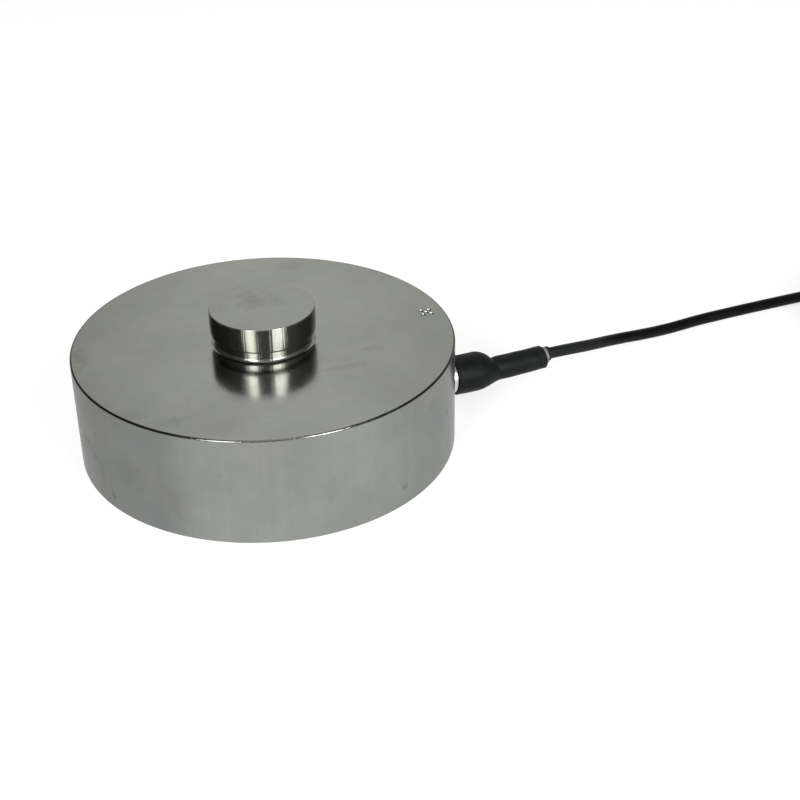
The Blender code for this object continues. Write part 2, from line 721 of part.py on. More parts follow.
def main():
    """Build the sensor."""
    clear_scene()
    ground_steel = make_material("ground_steel", (0.29, 0.30, 0.28), 0.25, 1.0)
    cover_steel = make_material("cover_steel", (0.42, 0.42, 0.41), 0.35, 1.0)
    nipple_steel = make_material("nipple_steel", (0.60, 0.60, 0.58), 0.2, 1.0)
    brass = make_material("brass", (0.72, 0.53, 0.22), 0.3, 1.0)
    tin = make_material("tin", (0.75, 0.75, 0.76), 0.3, 1.0)
    sleeve_rubber = make_material("sleeve_polyolefin", (0.012, 0.013, 0.013), 0.5, 0.0)
    seal_rubber = make_material("seal_rubber", (0.02, 0.02, 0.02), 0.7, 0.0)
    film = make_material("inner_sleeve_polyolefin", (0.015, 0.015, 0.013), 0.45, 0.0)
    glue = make_material("hot_melt_glue", (0.28, 0.28, 0.26), 0.5, 0.0)
    jacket = make_material("cable_jacket", (0.018, 0.019, 0.019), 0.4, 0.0)
    strap = make_material("strap_textile", (0.02, 0.02, 0.022), 0.8, 0.0)
    laminate = make_material("board_laminate", (0.05, 0.22, 0.09), 0.5, 0.0)
    ceramic = make_material("resistor_ceramic", (0.03, 0.03, 0.035), 0.5, 0.0)
    foil = make_material("gauge_foil", (0.70, 0.42, 0.16), 0.4, 0.0)
    gauge_wire = make_material("gauge_wire_enamel", (0.55, 0.20, 0.08), 0.35, 0.0)
    colours = {
        "red": make_material("core_red", (0.55, 0.03, 0.02), 0.4, 0.0),
        "black": make_material("core_black", (0.02, 0.02, 0.02), 0.4, 0.0),
        "green": make_material("core_green", (0.03, 0.30, 0.08), 0.4, 0.0),
        "white": make_material("core_white", (0.75, 0.75, 0.72), 0.4, 0.0),
    }

    sensor_body(ground_steel)
    bottom_cover(cover_steel)
    strain_gauges(foil, gauge_wire)
    terminal_board(laminate, ceramic)
    cable_nipple(nipple_steel)
    seal_bush(seal_rubber)
    crimp_ferrule(brass)

    line = cable_line()
    tail = CABLE_RADIUS + FIT_GAP
    side_clearance = math.sqrt((COIL_OUTSIDE + tail) ** 2 - COIL_OUTER_TURN**2)
    whole = line_length(line) - side_clearance
    steps = 200
    visible = [place_on(line, whole * step / steps)[0] for step in range(steps + 1)]
    tube("cable", visible, CABLE_RADIUS, 4 * CABLE_RADIUS, jacket)
    outer_sleeve(line, sleeve_rubber)
    inner_sleeve(line, film, glue)
    cable_cores(colours)
    coil(jacket, strap)
    free_end(jacket, sleeve_rubber, colours, tin)


main()
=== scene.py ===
# %% [markdown]
# This lesson dresses the solids of a low round force sensor. The sensor is one
# turned piece of stainless steel with a polished load button, and a thin black
# cable leaves its side under two shrink sleeves. The solids are already packed
# as a fixed frame, so every visible piece is made where that frame says.

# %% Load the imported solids
import json
import math

import bmesh
import bpy
from mathutils import Matrix, Quaternion, Vector
from mathutils.geometry import interpolate_bezier

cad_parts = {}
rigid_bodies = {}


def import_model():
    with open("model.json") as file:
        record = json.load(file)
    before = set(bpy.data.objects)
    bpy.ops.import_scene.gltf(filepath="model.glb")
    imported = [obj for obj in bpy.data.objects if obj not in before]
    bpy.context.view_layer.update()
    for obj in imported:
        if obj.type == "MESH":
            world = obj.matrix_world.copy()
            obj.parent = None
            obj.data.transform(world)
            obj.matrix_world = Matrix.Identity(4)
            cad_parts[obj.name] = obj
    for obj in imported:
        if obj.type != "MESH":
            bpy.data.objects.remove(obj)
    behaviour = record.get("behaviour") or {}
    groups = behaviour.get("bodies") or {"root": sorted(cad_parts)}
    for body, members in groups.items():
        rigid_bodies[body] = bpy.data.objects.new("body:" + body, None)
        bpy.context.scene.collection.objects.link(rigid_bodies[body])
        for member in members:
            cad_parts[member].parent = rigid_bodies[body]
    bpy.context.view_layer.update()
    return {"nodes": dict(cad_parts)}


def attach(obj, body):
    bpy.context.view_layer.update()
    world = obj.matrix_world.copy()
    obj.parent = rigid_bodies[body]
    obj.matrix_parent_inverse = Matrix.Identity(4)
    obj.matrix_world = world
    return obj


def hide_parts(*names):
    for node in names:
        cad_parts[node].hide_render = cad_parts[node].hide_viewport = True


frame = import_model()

MM = 0.001
scene = bpy.context.scene
scene.view_settings.view_transform = "Standard"
print("solids loaded:", len(frame["nodes"]))

# %% [markdown]
# The camera comes first, because the cable has to know what the picture shows.
# The photograph was taken from the front left, about 30 degrees above the
# floor. A long lens keeps the round plate from bulging. The picture leans by
# just under a degree, which is one more turn about the camera's own axis.

# %% Camera
CAMERA_PLACE = Vector((-74.07, -303.15, 193.94)) * MM
CAMERA_AIM = Vector((0.28810, 0.80980, -0.51111))
CAMERA_LEAN = math.radians(-0.778)
CAMERA_LENS = 67.45


def add_camera():
    """Put the camera where the photographer stood."""
    data = bpy.data.cameras.new("photo_camera")
    data.lens = CAMERA_LENS
    camera = bpy.data.objects.new("photo_camera", data)
    scene.collection.objects.link(camera)
    lean = Quaternion((0.0, 0.0, 1.0), CAMERA_LEAN)
    camera.location = CAMERA_PLACE
    camera.rotation_euler = (CAMERA_AIM.to_track_quat("-Z", "Y") @ lean).to_euler()
    scene.camera = camera
    return camera


camera = add_camera()
print("camera distance, mm:", round(camera.location.length / MM, 1))

# %% [markdown]
# The cable is a real length, 3 m, of which the photograph shows only the first
# bit. A few listed points give the free stretch its lazy bends. A
# smooth curve through them, made of Bezier pieces, looks like rubbery cable,
# while straight runs joined by arcs would look like bent wire.

# %% Smooth line through listed points
CABLE_RADIUS = 1.5 * MM
CABLE_POINTS = (
    (0.0275, 0.0, 0.00675),
    (0.032, 0.0, 0.00675),
    (0.045, 0.0, 0.00675),
    (0.058, 0.0, 0.00675),
    (0.066, 0.00055, 0.006855),
    (0.0733, 0.0014, 0.0069075),
    (0.080, 0.00235, 0.0064875),
    (0.087, 0.00375, 0.0056475),
    (0.0935, 0.006, 0.00444),
    (0.100, 0.0081, 0.0032325),
    (0.107, 0.00965, 0.002235),
    (0.115, 0.01095, 0.0016575),
    (0.125, 0.01255, 0.0015),
    (0.137, 0.0135, 0.0015),
    (0.150, 0.0142, 0.0015),
    (0.165, 0.0148, 0.0015),
    (0.183, 0.0151, 0.0015),
)


def smooth_line(points, pieces=12):
    """A dense smooth line through a few points."""
    points = [Vector(point) for point in points]
    runs = [(b - a).length for a, b in zip(points, points[1:])]
    slopes = [(points[1] - points[0]) / runs[0]]
    for index in range(1, len(points) - 1):
        before = (points[index] - points[index - 1]) / runs[index - 1]
        after = (points[index + 1] - points[index]) / runs[index]
        both = runs[index - 1] + runs[index]
        slopes.append((before * runs[index] + after * runs[index - 1]) / both)
    slopes.append((points[-1] - points[-2]) / runs[-1])
    line = [points[0]]
    for index, run in enumerate(runs):
        first, second = points[index], points[index + 1]
        leave = first + slopes[index] * run / 3
        arrive = second - slopes[index + 1] * run / 3
        line += interpolate_bezier(first, leave, arrive, second, pieces + 1)[1:]
    return line


def line_length(line):
    """Length of a dense line."""
    return sum((b - a).length for a, b in zip(line, line[1:]))


def place_on(line, distance):
    """Point and direction at a distance along a dense line."""
    for start, stop in zip(line, line[1:]):
        run = (stop - start).length
        if distance <= run:
            break
        distance -= run
    direction = (stop - start).normalized()
    return start + direction * distance, direction


free_line = smooth_line(CABLE_POINTS)
print("free stretch, mm:", round(line_length(free_line) / MM, 1))

# %% [markdown]
# What the picture doesn't show is wound into a tidy coil, five turns across
# and four layers high. A wound cable can't jump from one turn to the next, so
# each turn steps over to its neighbour within a quarter of a circle. Where a
# layer ends, the turns step one after another, each a little earlier than the
# last, and so they never pass through each other. Under the strap the layers
# are squeezed together and lifted by the strap's own thickness.

# %% Plan of the coil
COIL_RADIUS = 28.6 * MM
COIL_PITCH = 3.1 * MM
COIL_COLUMNS = 5
COIL_LAYERS = 4
COIL_TURNS = COIL_COLUMNS * COIL_LAYERS
COIL_CENTRE = Vector((CABLE_POINTS[-1][0], CABLE_POINTS[-1][1] - COIL_RADIUS, 0.0))
STEP_TURN = 88.0
STEP_STAGGER = 18.0


def ease(share):
    """A smooth step from 0 to 1."""
    share = min(1.0, max(0.0, share))
    return share * share * (3.0 - 2.0 * share)


def spaced(start, stop, count):
    """Evenly spaced numbers, count + 1 of them, from start to stop."""
    return [start + (stop - start) * step / count for step in range(count + 1)]


def polar(reach, angle):
    """Flat coordinates of a point at a distance and an angle in radians."""
    return reach * math.cos(angle), reach * math.sin(angle)


def around_coil(angle, reach, height):
    """A point over the coil, its angle in degrees."""
    return COIL_CENTRE + Vector((*polar(reach, math.radians(angle)), height))


def coil_slot(number):
    """Radius and height of one turn's own place in the coil."""
    layer, column = divmod(number, COIL_COLUMNS)
    if layer % 2:
        column = COIL_COLUMNS - 1 - column
    return COIL_RADIUS - COIL_PITCH * column, CABLE_RADIUS + COIL_PITCH * layer


def step_start(number):
    """How far the cable has wound, in degrees, when a turn steps over."""
    layer, place = divmod(number, COIL_COLUMNS)
    ends = 2 * layer + (1 if place == COIL_COLUMNS - 1 else 0)
    return 360.0 * (number + 1) - STEP_TURN - STEP_STAGGER * ends


print("turns in the coil:", COIL_TURNS)

# %% [markdown]
# The winding is a list of moves, each with its start, its span and how far it
# goes in and up. The last moves lift the free end onto the coil. A point's
# place is the first turn's place plus the share of every move done so far,
# which keeps the line smooth however the moves overlap.

# %% Wind the coil
STRAP_ANGLE = 200.0
STRAP_REACH = 34.0
STRAP_SLOPE = 24.0
STRAP_SQUEEZE = 0.953
STRAP_THICKNESS = 0.7 * MM
STRAP_TOP = 12.6 * MM
LIE_HEIGHT = 13.95 * MM
OVER_STRAP = 14.87 * MM
END_HEIGHT = 14.73 * MM
END_START_ANGLE = 84.0
END_STOP_ANGLE = 58.0
CLIMB_TURN = 50.0
SLIDE_DELAY = 40.0
POINTS_PER_TURN = 60


def coil_moves():
    """Every step of the winding: its start and span in degrees, inward and up."""
    moves = []
    for number in range(COIL_TURNS - 1):
        radius, height = coil_slot(number)
        next_radius, next_height = coil_slot(number + 1)
        moves.append((step_start(number), STEP_TURN, next_radius - radius, next_height - height))
    climb = step_start(COIL_TURNS - 1)
    settled = 90.0 - END_START_ANGLE + 360.0 * COIL_TURNS
    moves.append((climb, CLIMB_TURN, 0.0, LIE_HEIGHT - coil_slot(COIL_TURNS - 1)[1]))
    moves.append((climb + SLIDE_DELAY, CLIMB_TURN, -COIL_PITCH, 0.0))
    moves.append((settled - CLIMB_TURN, CLIMB_TURN, 0.0, END_HEIGHT - LIE_HEIGHT))
    return moves


def lifted_by_strap(height, angle):
    """Height of the cable where the strap runs below, round and above it."""
    middle = CABLE_RADIUS + COIL_PITCH * (COIL_LAYERS - 1) / 2
    from_strap = abs((angle - STRAP_ANGLE + 180.0) % 360.0 - 180.0)
    lift = ease((STRAP_REACH - from_strap) / STRAP_SLOPE)
    there = OVER_STRAP
    if height < coil_slot(COIL_TURNS - 1)[1] + COIL_PITCH / 4:
        there = (STRAP_THICKNESS + STRAP_TOP) / 2 + (height - middle) * STRAP_SQUEEZE
    return height + (there - height) * lift


def wind_coil():
    """Points of the whole coil, clockwise from where the cable meets it."""
    last = 90.0 - END_STOP_ANGLE + 360.0 * COIL_TURNS
    moves = coil_moves()
    points = []
    for wound in spaced(0.0, last, round(last / 360.0 * POINTS_PER_TURN))[1:]:
        radius, height = coil_slot(0)
        for start, span, inward, up in moves:
            share = ease((wound - start) / span)
            radius += inward * share
            height += up * share
        angle = 90.0 - wound
        points.append(around_coil(angle, radius, lifted_by_strap(height, angle)))
    return points


cable_line = free_line + wind_coil()
print("whole cable, m:", round(line_length(cable_line), 3))
print("coil height, mm:", round((COIL_PITCH * (COIL_LAYERS - 1) + 2 * CABLE_RADIUS) / MM, 1))

# %% [markdown]
# Every finish here is made from nodes and not from pictures, so it can be seen
# from near and far and needs no unwrapping. All finishes are built from the
# same few things, such as soft patches of noise, a change of range and a mix
# of two colours, so those helpers are defined once.

# %% Helpers for finishes
def start_finish(name, colour, roughness, metallic=0.0):
    """A new material with its plain values set on the shader itself."""
    material = bpy.data.materials.new(name)
    material.use_nodes = True
    for socket, value in (("Base Color", colour), ("Roughness", roughness), ("Metallic", metallic)):
        give(material, socket, value)
    return material


def add_node(material, kind):
    """A new node in a finish, or in the world."""
    return material.node_tree.nodes.new(kind)


def shader_input(material, name):
    """One of the sockets of a finish's shader."""
    return material.node_tree.nodes["Principled BSDF"].inputs[name]


def connect(material, value, socket):
    """Feed a socket from a node, or set a plain number or colour on it."""
    if isinstance(value, bpy.types.NodeSocket):
        material.node_tree.links.new(value, socket)
    elif isinstance(value, tuple):
        socket.default_value = (*value, 1.0)
    else:
        socket.default_value = value


def give(material, name, value):
    """Feed or set a socket of a finish's shader by its name."""
    connect(material, value, shader_input(material, name))


def own_place(material):
    """Coordinates in metres that stay with the piece."""
    return add_node(material, "ShaderNodeTexCoord").outputs["Object"]


print("finishes so far:", len(bpy.data.materials))

# %% [markdown]
# Noise is nearly always between 0.35 and 0.65, so a change of range starts
# from there unless it is told otherwise. Relief is a bump in the shader: it
# bends the light as real grain does, but costs no faces. It is kept for what
# is less than a tenth of a millimetre deep, and larger forms are modelled.

# %% Patches, shades and relief
NOISE_LOW, NOISE_HIGH = 0.35, 0.65


def blotches(material, size, detail=3.0, stretch=(1.0, 1.0, 1.0), shift=0.0, place=None):
    """Soft uneven patches of about one size, from 0 to 1."""
    mapping = add_node(material, "ShaderNodeMapping")
    mapping.inputs["Location"].default_value = (shift, shift, shift)
    mapping.inputs["Scale"].default_value = tuple(1.0 / (size * long) for long in stretch)
    connect(material, place or own_place(material), mapping.inputs["Vector"])
    noise = add_node(material, "ShaderNodeTexNoise")
    noise.inputs["Scale"].default_value = 1.0
    noise.inputs["Detail"].default_value = detail
    connect(material, mapping.outputs["Vector"], noise.inputs["Vector"])
    return noise.outputs[0]


def rescale(material, value, low, high, start=NOISE_LOW, stop=NOISE_HIGH):
    """Turn the range from start to stop into the range from low to high."""
    node = add_node(material, "ShaderNodeMapRange")
    connect(material, value, node.inputs["Value"])
    for name, number in (("From Min", start), ("From Max", stop), ("To Min", low), ("To Max", high)):
        node.inputs[name].default_value = number
    return node.outputs["Result"]


def calculate(material, operation, first, second=0.0):
    """One step of arithmetic on values that vary over the surface."""
    node = add_node(material, "ShaderNodeMath")
    node.operation = operation
    connect(material, first, node.inputs[0])
    connect(material, second, node.inputs[1])
    return node.outputs["Value"]


def mix_colours(material, share, first, second, way="MIX"):
    """Mix two colours by a share that varies over the surface."""
    node = add_node(material, "ShaderNodeMix")
    node.data_type = "RGBA"
    node.blend_type = way
    for number, value in ((0, share), (6, first), (7, second)):
        connect(material, value, node.inputs[number])
    return node.outputs[2]


def clouded(material, size, dark, light):
    """Two shades of one colour in soft patches."""
    return mix_colours(material, rescale(material, blotches(material, size), 0.0, 1.0), dark, light)


def uneven_gloss(material, patches, low, high):
    """Let the roughness wander between two values."""
    give(material, "Roughness", rescale(material, patches, low, high))


def emboss(material, height, depth, under=None):
    """Raise or sink the surface's relief by a depth in metres."""
    node = add_node(material, "ShaderNodeBump")
    node.inputs["Distance"].default_value = depth
    connect(material, height, node.inputs["Height"])
    if under:
        connect(material, under, node.inputs["Normal"])
    give(material, "Normal", node.outputs["Normal"])
    return node.outputs["Normal"]


print("range of noise:", NOISE_LOW, NOISE_HIGH)

# %% [markdown]
# Blender can give a curve a round thickness by itself, so the cable is one
# open curve and stays easy to reshape. Black soft PVC is satin: a broad, weak
# sheen runs along its top. A stretch further from the sleeve is darkened
# towards black by its X: that is painted shade, where less light falls on it.

# %% Cable
SOFT_SHINE = 0.10
FAR_SHADE_SHARE = 0.85
FAR_SHADE_BLACK = (0.001, 0.001, 0.001)
FAR_SHADE_START, FAR_SHADE_STOP = 91.0 * MM, 150.0 * MM
FAR_SHADE_FADE_IN, FAR_SHADE_FADE_OUT = 8.0 * MM, 12.0 * MM


def soft_plastic(name, dark, light, roughness, grain, depth):
    """Satin soft plastic with a fine grain and a faintly uneven sheen."""
    finish = start_finish(name, light, roughness)
    give(finish, "Specular IOR Level", SOFT_SHINE)
    give(finish, "Base Color", clouded(finish, 9.0 * MM, dark, light))
    uneven_gloss(finish, blotches(finish, 3.0 * MM, shift=7.0), roughness - 0.05, roughness + 0.07)
    emboss(finish, blotches(finish, grain, detail=2.0), depth)
    return finish


def round_lines(name, lines, radius, finish, sides=4):
    """Curves along lines, as thick as a cable, a core or a strand."""
    data = bpy.data.curves.new(name, "CURVE")
    data.dimensions = "3D"
    data.bevel_depth = radius
    data.bevel_resolution = sides
    data.use_fill_caps = True
    data.materials.append(finish)
    for line in lines:
        spline = data.splines.new("POLY")
        spline.points.add(len(line) - 1)
        for point, place in zip(spline.points, line):
            point.co = (*place, 1.0)
    piece = bpy.data.objects.new(name, data)
    scene.collection.objects.link(piece)
    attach(piece, "root")
    return piece


def paint_far_shade(finish):
    """Paint shade on a stretch of the cable further out, darkening it towards black."""
    place = add_node(finish, "ShaderNodeSeparateXYZ")
    connect(finish, own_place(finish), place.inputs["Vector"])
    along = place.outputs["X"]
    begins = rescale(finish, along, 0.0, FAR_SHADE_SHARE, FAR_SHADE_START, FAR_SHADE_START + FAR_SHADE_FADE_IN)
    ends = rescale(finish, along, FAR_SHADE_SHARE, 0.0, FAR_SHADE_STOP, FAR_SHADE_STOP + FAR_SHADE_FADE_OUT)
    own_colour = shader_input(finish, "Base Color").links[0].from_socket
    shade_share = calculate(finish, "MINIMUM", begins, ends)
    give(finish, "Base Color", mix_colours(finish, shade_share, own_colour, FAR_SHADE_BLACK))


cable_jacket = soft_plastic(
    "cable_jacket", (0.008, 0.009, 0.009), (0.013, 0.014, 0.014), 0.36, 0.35 * MM, 0.006 * MM
)
# Painted shade: a stretch of the jacket further from the sleeve is darkened towards black.
paint_far_shade(cable_jacket)
sensor_cable = round_lines("sensor_cable", [cable_line], CABLE_RADIUS, cable_jacket, 6)
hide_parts("cable", "cable_coil", "cable_end")
print("points on the cable:", len(cable_line))

# %% [markdown]
# The body is lathe work, so it is drawn as half a cross-section and turned
# about the axis. Each stretch of the outline also says how it is finished,
# because a ground plate, a polished button and a ground side reflect quite
# differently. Corners are real arcs: a sharp edge catches no light, and the
# thin bright and dark line round the plate is what makes it look machined.
# That line is partly painted: the rim's finish below is darkened as painted
# shade and brightened at the front as a painted highlight.

# %% Sizes of the body
BODY_RADIUS = 45.0 * MM
BODY_HEIGHT = 26.5 * MM
RIM_ROUND = 0.42 * MM
FOOT_ROUND = 0.6 * MM
BUTTON_RADIUS = 12.4 * MM
BUTTON_TOP = 35.3 * MM
BUTTON_ROUND = 0.18 * MM
BUTTON_CROWN = 0.10 * MM
HEAD_BEVEL = 0.25 * MM
BEVEL_SLOPE = 0.49
HEAD_UNDERSIDE = 29.2 * MM
NECK_RADIUS = 11.25 * MM
NECK_FILLET = 1.05 * MM
RECESS_RADIUS = 36.0 * MM
CAVITY_RADIUS = 33.5 * MM
LEDGE_HEIGHT = 2.3 * MM
WEB_UNDERSIDE = 18.0 * MM
WEB_CORNER = 2.0 * MM
BOSS_RADIUS = 13.0 * MM
BOSS_SHOULDER = 11.0 * MM
BOSS_TIP_RADIUS = 9.0 * MM
BOSS_TIP = 2.6 * MM
PLATE, POLISHED, RIM, SIDE, INSIDE, PUNCHED = range(6)
print("body, mm across and high:", 2 * BODY_RADIUS / MM, BODY_HEIGHT / MM)

# %% [markdown]
# The outline runs down from the middle of the button's top, over the plate and
# the side to the foot, and back through the hollow inside to the boss. It is
# a list of stretches, each a few points or a round corner and its finish.

# %% Outline of the body
def arc(centre, radius, start, stop, steps=6):
    """Points of a round corner in an outline, angles in degrees."""
    turns = [polar(radius, math.radians(angle)) for angle in spaced(start, stop, steps)]
    return [(centre[0] + across, centre[1] + up) for across, up in turns]


def finished(points, finish):
    """Give each point the finish of the face that follows it."""
    return [(radius, height, finish) for radius, height in points]


def crowned_side(top, bottom, steps=12):
    """The button's side, a hair fuller in the middle as polishing leaves it."""
    points = []
    for share in spaced(0.0, 1.0, steps)[1:-1]:
        bulge = BUTTON_CROWN * (1.0 - (2.0 * share - 1.0) ** 2)
        points.append((BUTTON_RADIUS - BUTTON_CROWN + bulge, top + (bottom - top) * share))
    return points


def body_outline():
    """Half the body's cross-section, from the button's top to the boss."""
    edge = BUTTON_RADIUS - BUTTON_CROWN - BUTTON_ROUND
    top_corner = (edge, BUTTON_TOP - BUTTON_ROUND)
    bevel = HEAD_UNDERSIDE + BUTTON_ROUND + HEAD_BEVEL
    head_corner = (edge - BEVEL_SLOPE * HEAD_BEVEL, HEAD_UNDERSIDE + BUTTON_ROUND)
    fillet = (NECK_RADIUS + NECK_FILLET, BODY_HEIGHT + NECK_FILLET)
    rim = (BODY_RADIUS - RIM_ROUND, BODY_HEIGHT - RIM_ROUND)
    foot = (BODY_RADIUS - FOOT_ROUND, FOOT_ROUND)
    web = (CAVITY_RADIUS - WEB_CORNER, WEB_UNDERSIDE - WEB_CORNER)
    boss = (BOSS_RADIUS + WEB_CORNER, WEB_UNDERSIDE - WEB_CORNER)
    stretches = (
        ([(0.0, BUTTON_TOP)], PLATE),
        (arc(top_corner, BUTTON_ROUND, 90.0, 0.0), POLISHED),
        (crowned_side(top_corner[1], bevel), POLISHED),
        ([(edge + BUTTON_ROUND, bevel)], POLISHED),
        (arc(head_corner, BUTTON_ROUND, 0.0, -90.0), POLISHED),
        ([(NECK_RADIUS, HEAD_UNDERSIDE)], POLISHED),
        (arc(fillet, NECK_FILLET, 180.0, 270.0, 10)[:-1], POLISHED),
        ([(fillet[0], BODY_HEIGHT)], PLATE),
        (arc(rim, RIM_ROUND, 90.0, 0.0)[:-1], RIM),
        ([(BODY_RADIUS, rim[1])], SIDE),
        (arc(foot, FOOT_ROUND, 0.0, -90.0), SIDE),
        ([(RECESS_RADIUS, 0.0), (RECESS_RADIUS, LEDGE_HEIGHT), (CAVITY_RADIUS, LEDGE_HEIGHT)], INSIDE),
        (arc(web, WEB_CORNER, 0.0, 90.0), INSIDE),
        (arc(boss, WEB_CORNER, 90.0, 180.0), INSIDE),
        ([(BOSS_RADIUS, BOSS_SHOULDER), (BOSS_TIP_RADIUS, BOSS_SHOULDER)], INSIDE),
        ([(BOSS_TIP_RADIUS, BOSS_TIP), (0.0, BOSS_TIP)], INSIDE),
    )
    return [point for points, finish in stretches for point in finished(points, finish)]


print("outline of the body, points:", len(body_outline()))


# %% [markdown]
# A long flat face next to a small round one would borrow some of its tilt and
# look bent. So every long stretch gets a narrow margin at both ends, which
# keeps the blending inside the margin and the flat face flat.

# %% Turning
TURNED_SEGMENTS = 288
MARGIN = 0.04 * MM


def with_margins(outline, closed):
    """Add a point just inside both ends of every long stretch."""
    last = len(outline) if closed else len(outline) - 1
    points = []
    for index in range(last):
        radius, height, finish = outline[index]
        after = outline[(index + 1) % len(outline)]
        run = math.hypot(after[0] - radius, after[1] - height)
        shares = [0.0]
        if run > 10.0 * MARGIN:
            shares += [MARGIN / run, 1.0 - MARGIN / run]
        for share in shares:
            across = radius + (after[0] - radius) * share
            points.append((across, height + (after[1] - height) * share, finish))
    if not closed:
        points.append(outline[-1])
    return points


def to_piece(name, shape, finishes, sharp=32.0):
    """Turn edited faces into a named piece, smooth but for its real edges."""
    bmesh.ops.recalc_face_normals(shape, faces=shape.faces)
    mesh = bpy.data.meshes.new(name)
    shape.to_mesh(mesh)
    shape.free()
    mesh.shade_smooth()
    mesh.set_sharp_from_angle(angle=math.radians(sharp))
    for finish in finishes:
        mesh.materials.append(finish)
    piece = bpy.data.objects.new(name, mesh)
    scene.collection.objects.link(piece)
    return piece


def turned_piece(name, outline, finishes, segments=TURNED_SEGMENTS, closed=False):
    """Turn an outline of (radius, height, finish) points about Z."""
    shape = bmesh.new()
    outline = with_margins(outline, closed)
    rings = []
    for radius, height, _ in outline:
        angles = [math.tau * index / segments for index in range(segments if radius > 0.0 else 1)]
        rings.append([shape.verts.new((*polar(radius, angle), height)) for angle in angles])
    pairs = list(zip(rings, rings[1:]))
    if closed:
        pairs.append((rings[-1], rings[0]))
    for (near, far), (_, _, finish) in zip(pairs, outline):
        for index in range(segments):
            beside = (index + 1) % segments
            corners = [near[index % len(near)], near[beside % len(near)]]
            corners += [far[beside % len(far)], far[index % len(far)]]
            face = shape.faces.new(list(dict.fromkeys(corners)))
            face.material_index = finish
    return to_piece(name, shape, finishes)


print("steps round a turned piece:", TURNED_SEGMENTS)


# %% [markdown]
# The plate was ground and handled. Nothing on it is a strong pattern: there
# are pale and dark clouds a few millimetres across, a few warm and cool tints
# and very fine grinding lines. At this low angle it acts as a blurred mirror,
# so its roughness matters more than its colour. The clouds come from noise.
# Finger marks and other spots have a place of their own, so a short table
# gives each one's centre, size and strength, in millimetres. A strength below
# zero makes a spot brighter. The plate's rim gets a very dark colour, which is
# painted shade, and a bright patch at its front, which is a painted highlight
# where the lamps show in the rounded edge.

# %% Places of the smudges and of the rim's painted highlight
PLATE_SMUDGES = (
    ((-42.5, 6.7, 26.5), (2.6, 6.0, 4.0), 0.17),
    ((-36.9, -23.9, 26.5), (4.5, 3.2, 4.0), 0.12),
    ((-30.0, -29.0, 26.5), (6.5, 2.6, 4.0), 0.11),
    ((-19.0, -35.0, 26.5), (4.5, 2.5, 4.0), 0.08),
    ((14.0, -19.3, 26.5), (5.5, 1.3, 4.0), 0.13),
    ((21.8, -13.6, 26.5), (4.5, 1.4, 4.0), 0.08),
    ((16.9, 35.9, 26.5), (4.5, 3.0, 4.0), 0.10),
    ((0.0, 0.0, 35.3), (40.0, 40.0, 3.0), 0.07),
    ((-1.2, 3.4, 35.3), (3.6, 5.0, 3.0), 0.17),
    ((3.7, 1.5, 35.3), (1.8, 3.2, 3.0), 0.09),
    ((-9.0, 3.0, 35.3), (1.8, 2.8, 3.0), 0.07),
)
# Painted highlight: the front of the rim is made brighter where the lamps show in its rounded edge.
RIM_PAINTED_HIGHLIGHT = (
    ((-10.7, -43.7, 26.3), (26.0, 9.0, 3.0), -2.2),
)
SIDE_SMUDGES = (
    ((-44.3, -7.6, 17.5), (3.0, 4.5, 3.2), -0.09),
    ((-44.4, -7.2, 13.0), (2.0, 2.6, 1.6), 0.24),
    ((-43.4, -11.6, 11.0), (1.2, 1.4, 0.7), 0.30),
    ((-42.6, -14.4, 6.5), (1.6, 1.1, 4.0), 0.10),
    ((-44.8, -3.5, 9.6), (1.5, 2.5, 1.2), 0.25),
    ((-38.5, -23.3, 12.3), (5.5, 5.5, 4.5), 0.11),
    ((-30.0, -33.5, 9.0), (4.0, 4.0, 5.0), 0.07),
    ((-41.3, -17.9, 3.7), (0.9, 0.9, 0.7), 0.35),
    ((20.1, -40.2, 4.9), (1.3, 1.3, 1.0), 0.28),
    ((35.4, -27.8, 14.5), (1.2, 1.2, 0.8), 0.25),
    ((36.2, -26.7, 6.0), (1.6, 1.6, 7.0), 0.12),
)
print("places with a smudge:", len(PLATE_SMUDGES) + len(RIM_PAINTED_HIGHLIGHT) + len(SIDE_SMUDGES))

# %% [markdown]
# A smudge is the distance from its centre, measured in its own sizes, made
# ragged with a little noise and turned into a brightness. The rim's painted
# highlight is made in the same way. The streaks of a turned part depend only on
# the direction from its axis, so the noise for them is looked up on a ring,
# where it meets itself without a seam.

# %% Smudges, painted highlights, shades and streaks
RAGGED = 1.8 * MM
RAGGED_SHARE = 0.3
SPOT_CORE, SPOT_EDGE = 0.2, 1.15


def add_spots_and_highlights(material, shade, spots_and_highlights):
    """Add spots with ragged edges, each with its centre, size and strength: smudges, and the rim's painted
    highlight.
    """
    for centre, size, strength in spots_and_highlights:
        mapping = add_node(material, "ShaderNodeMapping")
        mapping.inputs["Location"].default_value = tuple(-c / s for c, s in zip(centre, size))
        mapping.inputs["Scale"].default_value = tuple(1.0 / (s * MM) for s in size)
        connect(material, own_place(material), mapping.inputs["Vector"])
        away = add_node(material, "ShaderNodeVectorMath")
        away.operation = "LENGTH"
        connect(material, mapping.outputs["Vector"], away.inputs[0])
        ragged = blotches(material, RAGGED, shift=centre[0])
        ragged = rescale(material, ragged, -RAGGED_SHARE, RAGGED_SHARE)
        edge = calculate(material, "ADD", away.outputs["Value"], ragged)
        spot = rescale(material, edge, 1.0 - strength, 1.0, SPOT_CORE, SPOT_EDGE)
        shade = calculate(material, "MULTIPLY", shade, spot)
    return shade


def shaded(material, colour, shade):
    """A colour times a brightness that varies over the surface."""
    grey = add_node(material, "ShaderNodeCombineColor")
    for name in ("Red", "Green", "Blue"):
        connect(material, shade, grey.inputs[name])
    return mix_colours(material, 1.0, colour, grey.outputs["Color"], way="MULTIPLY")


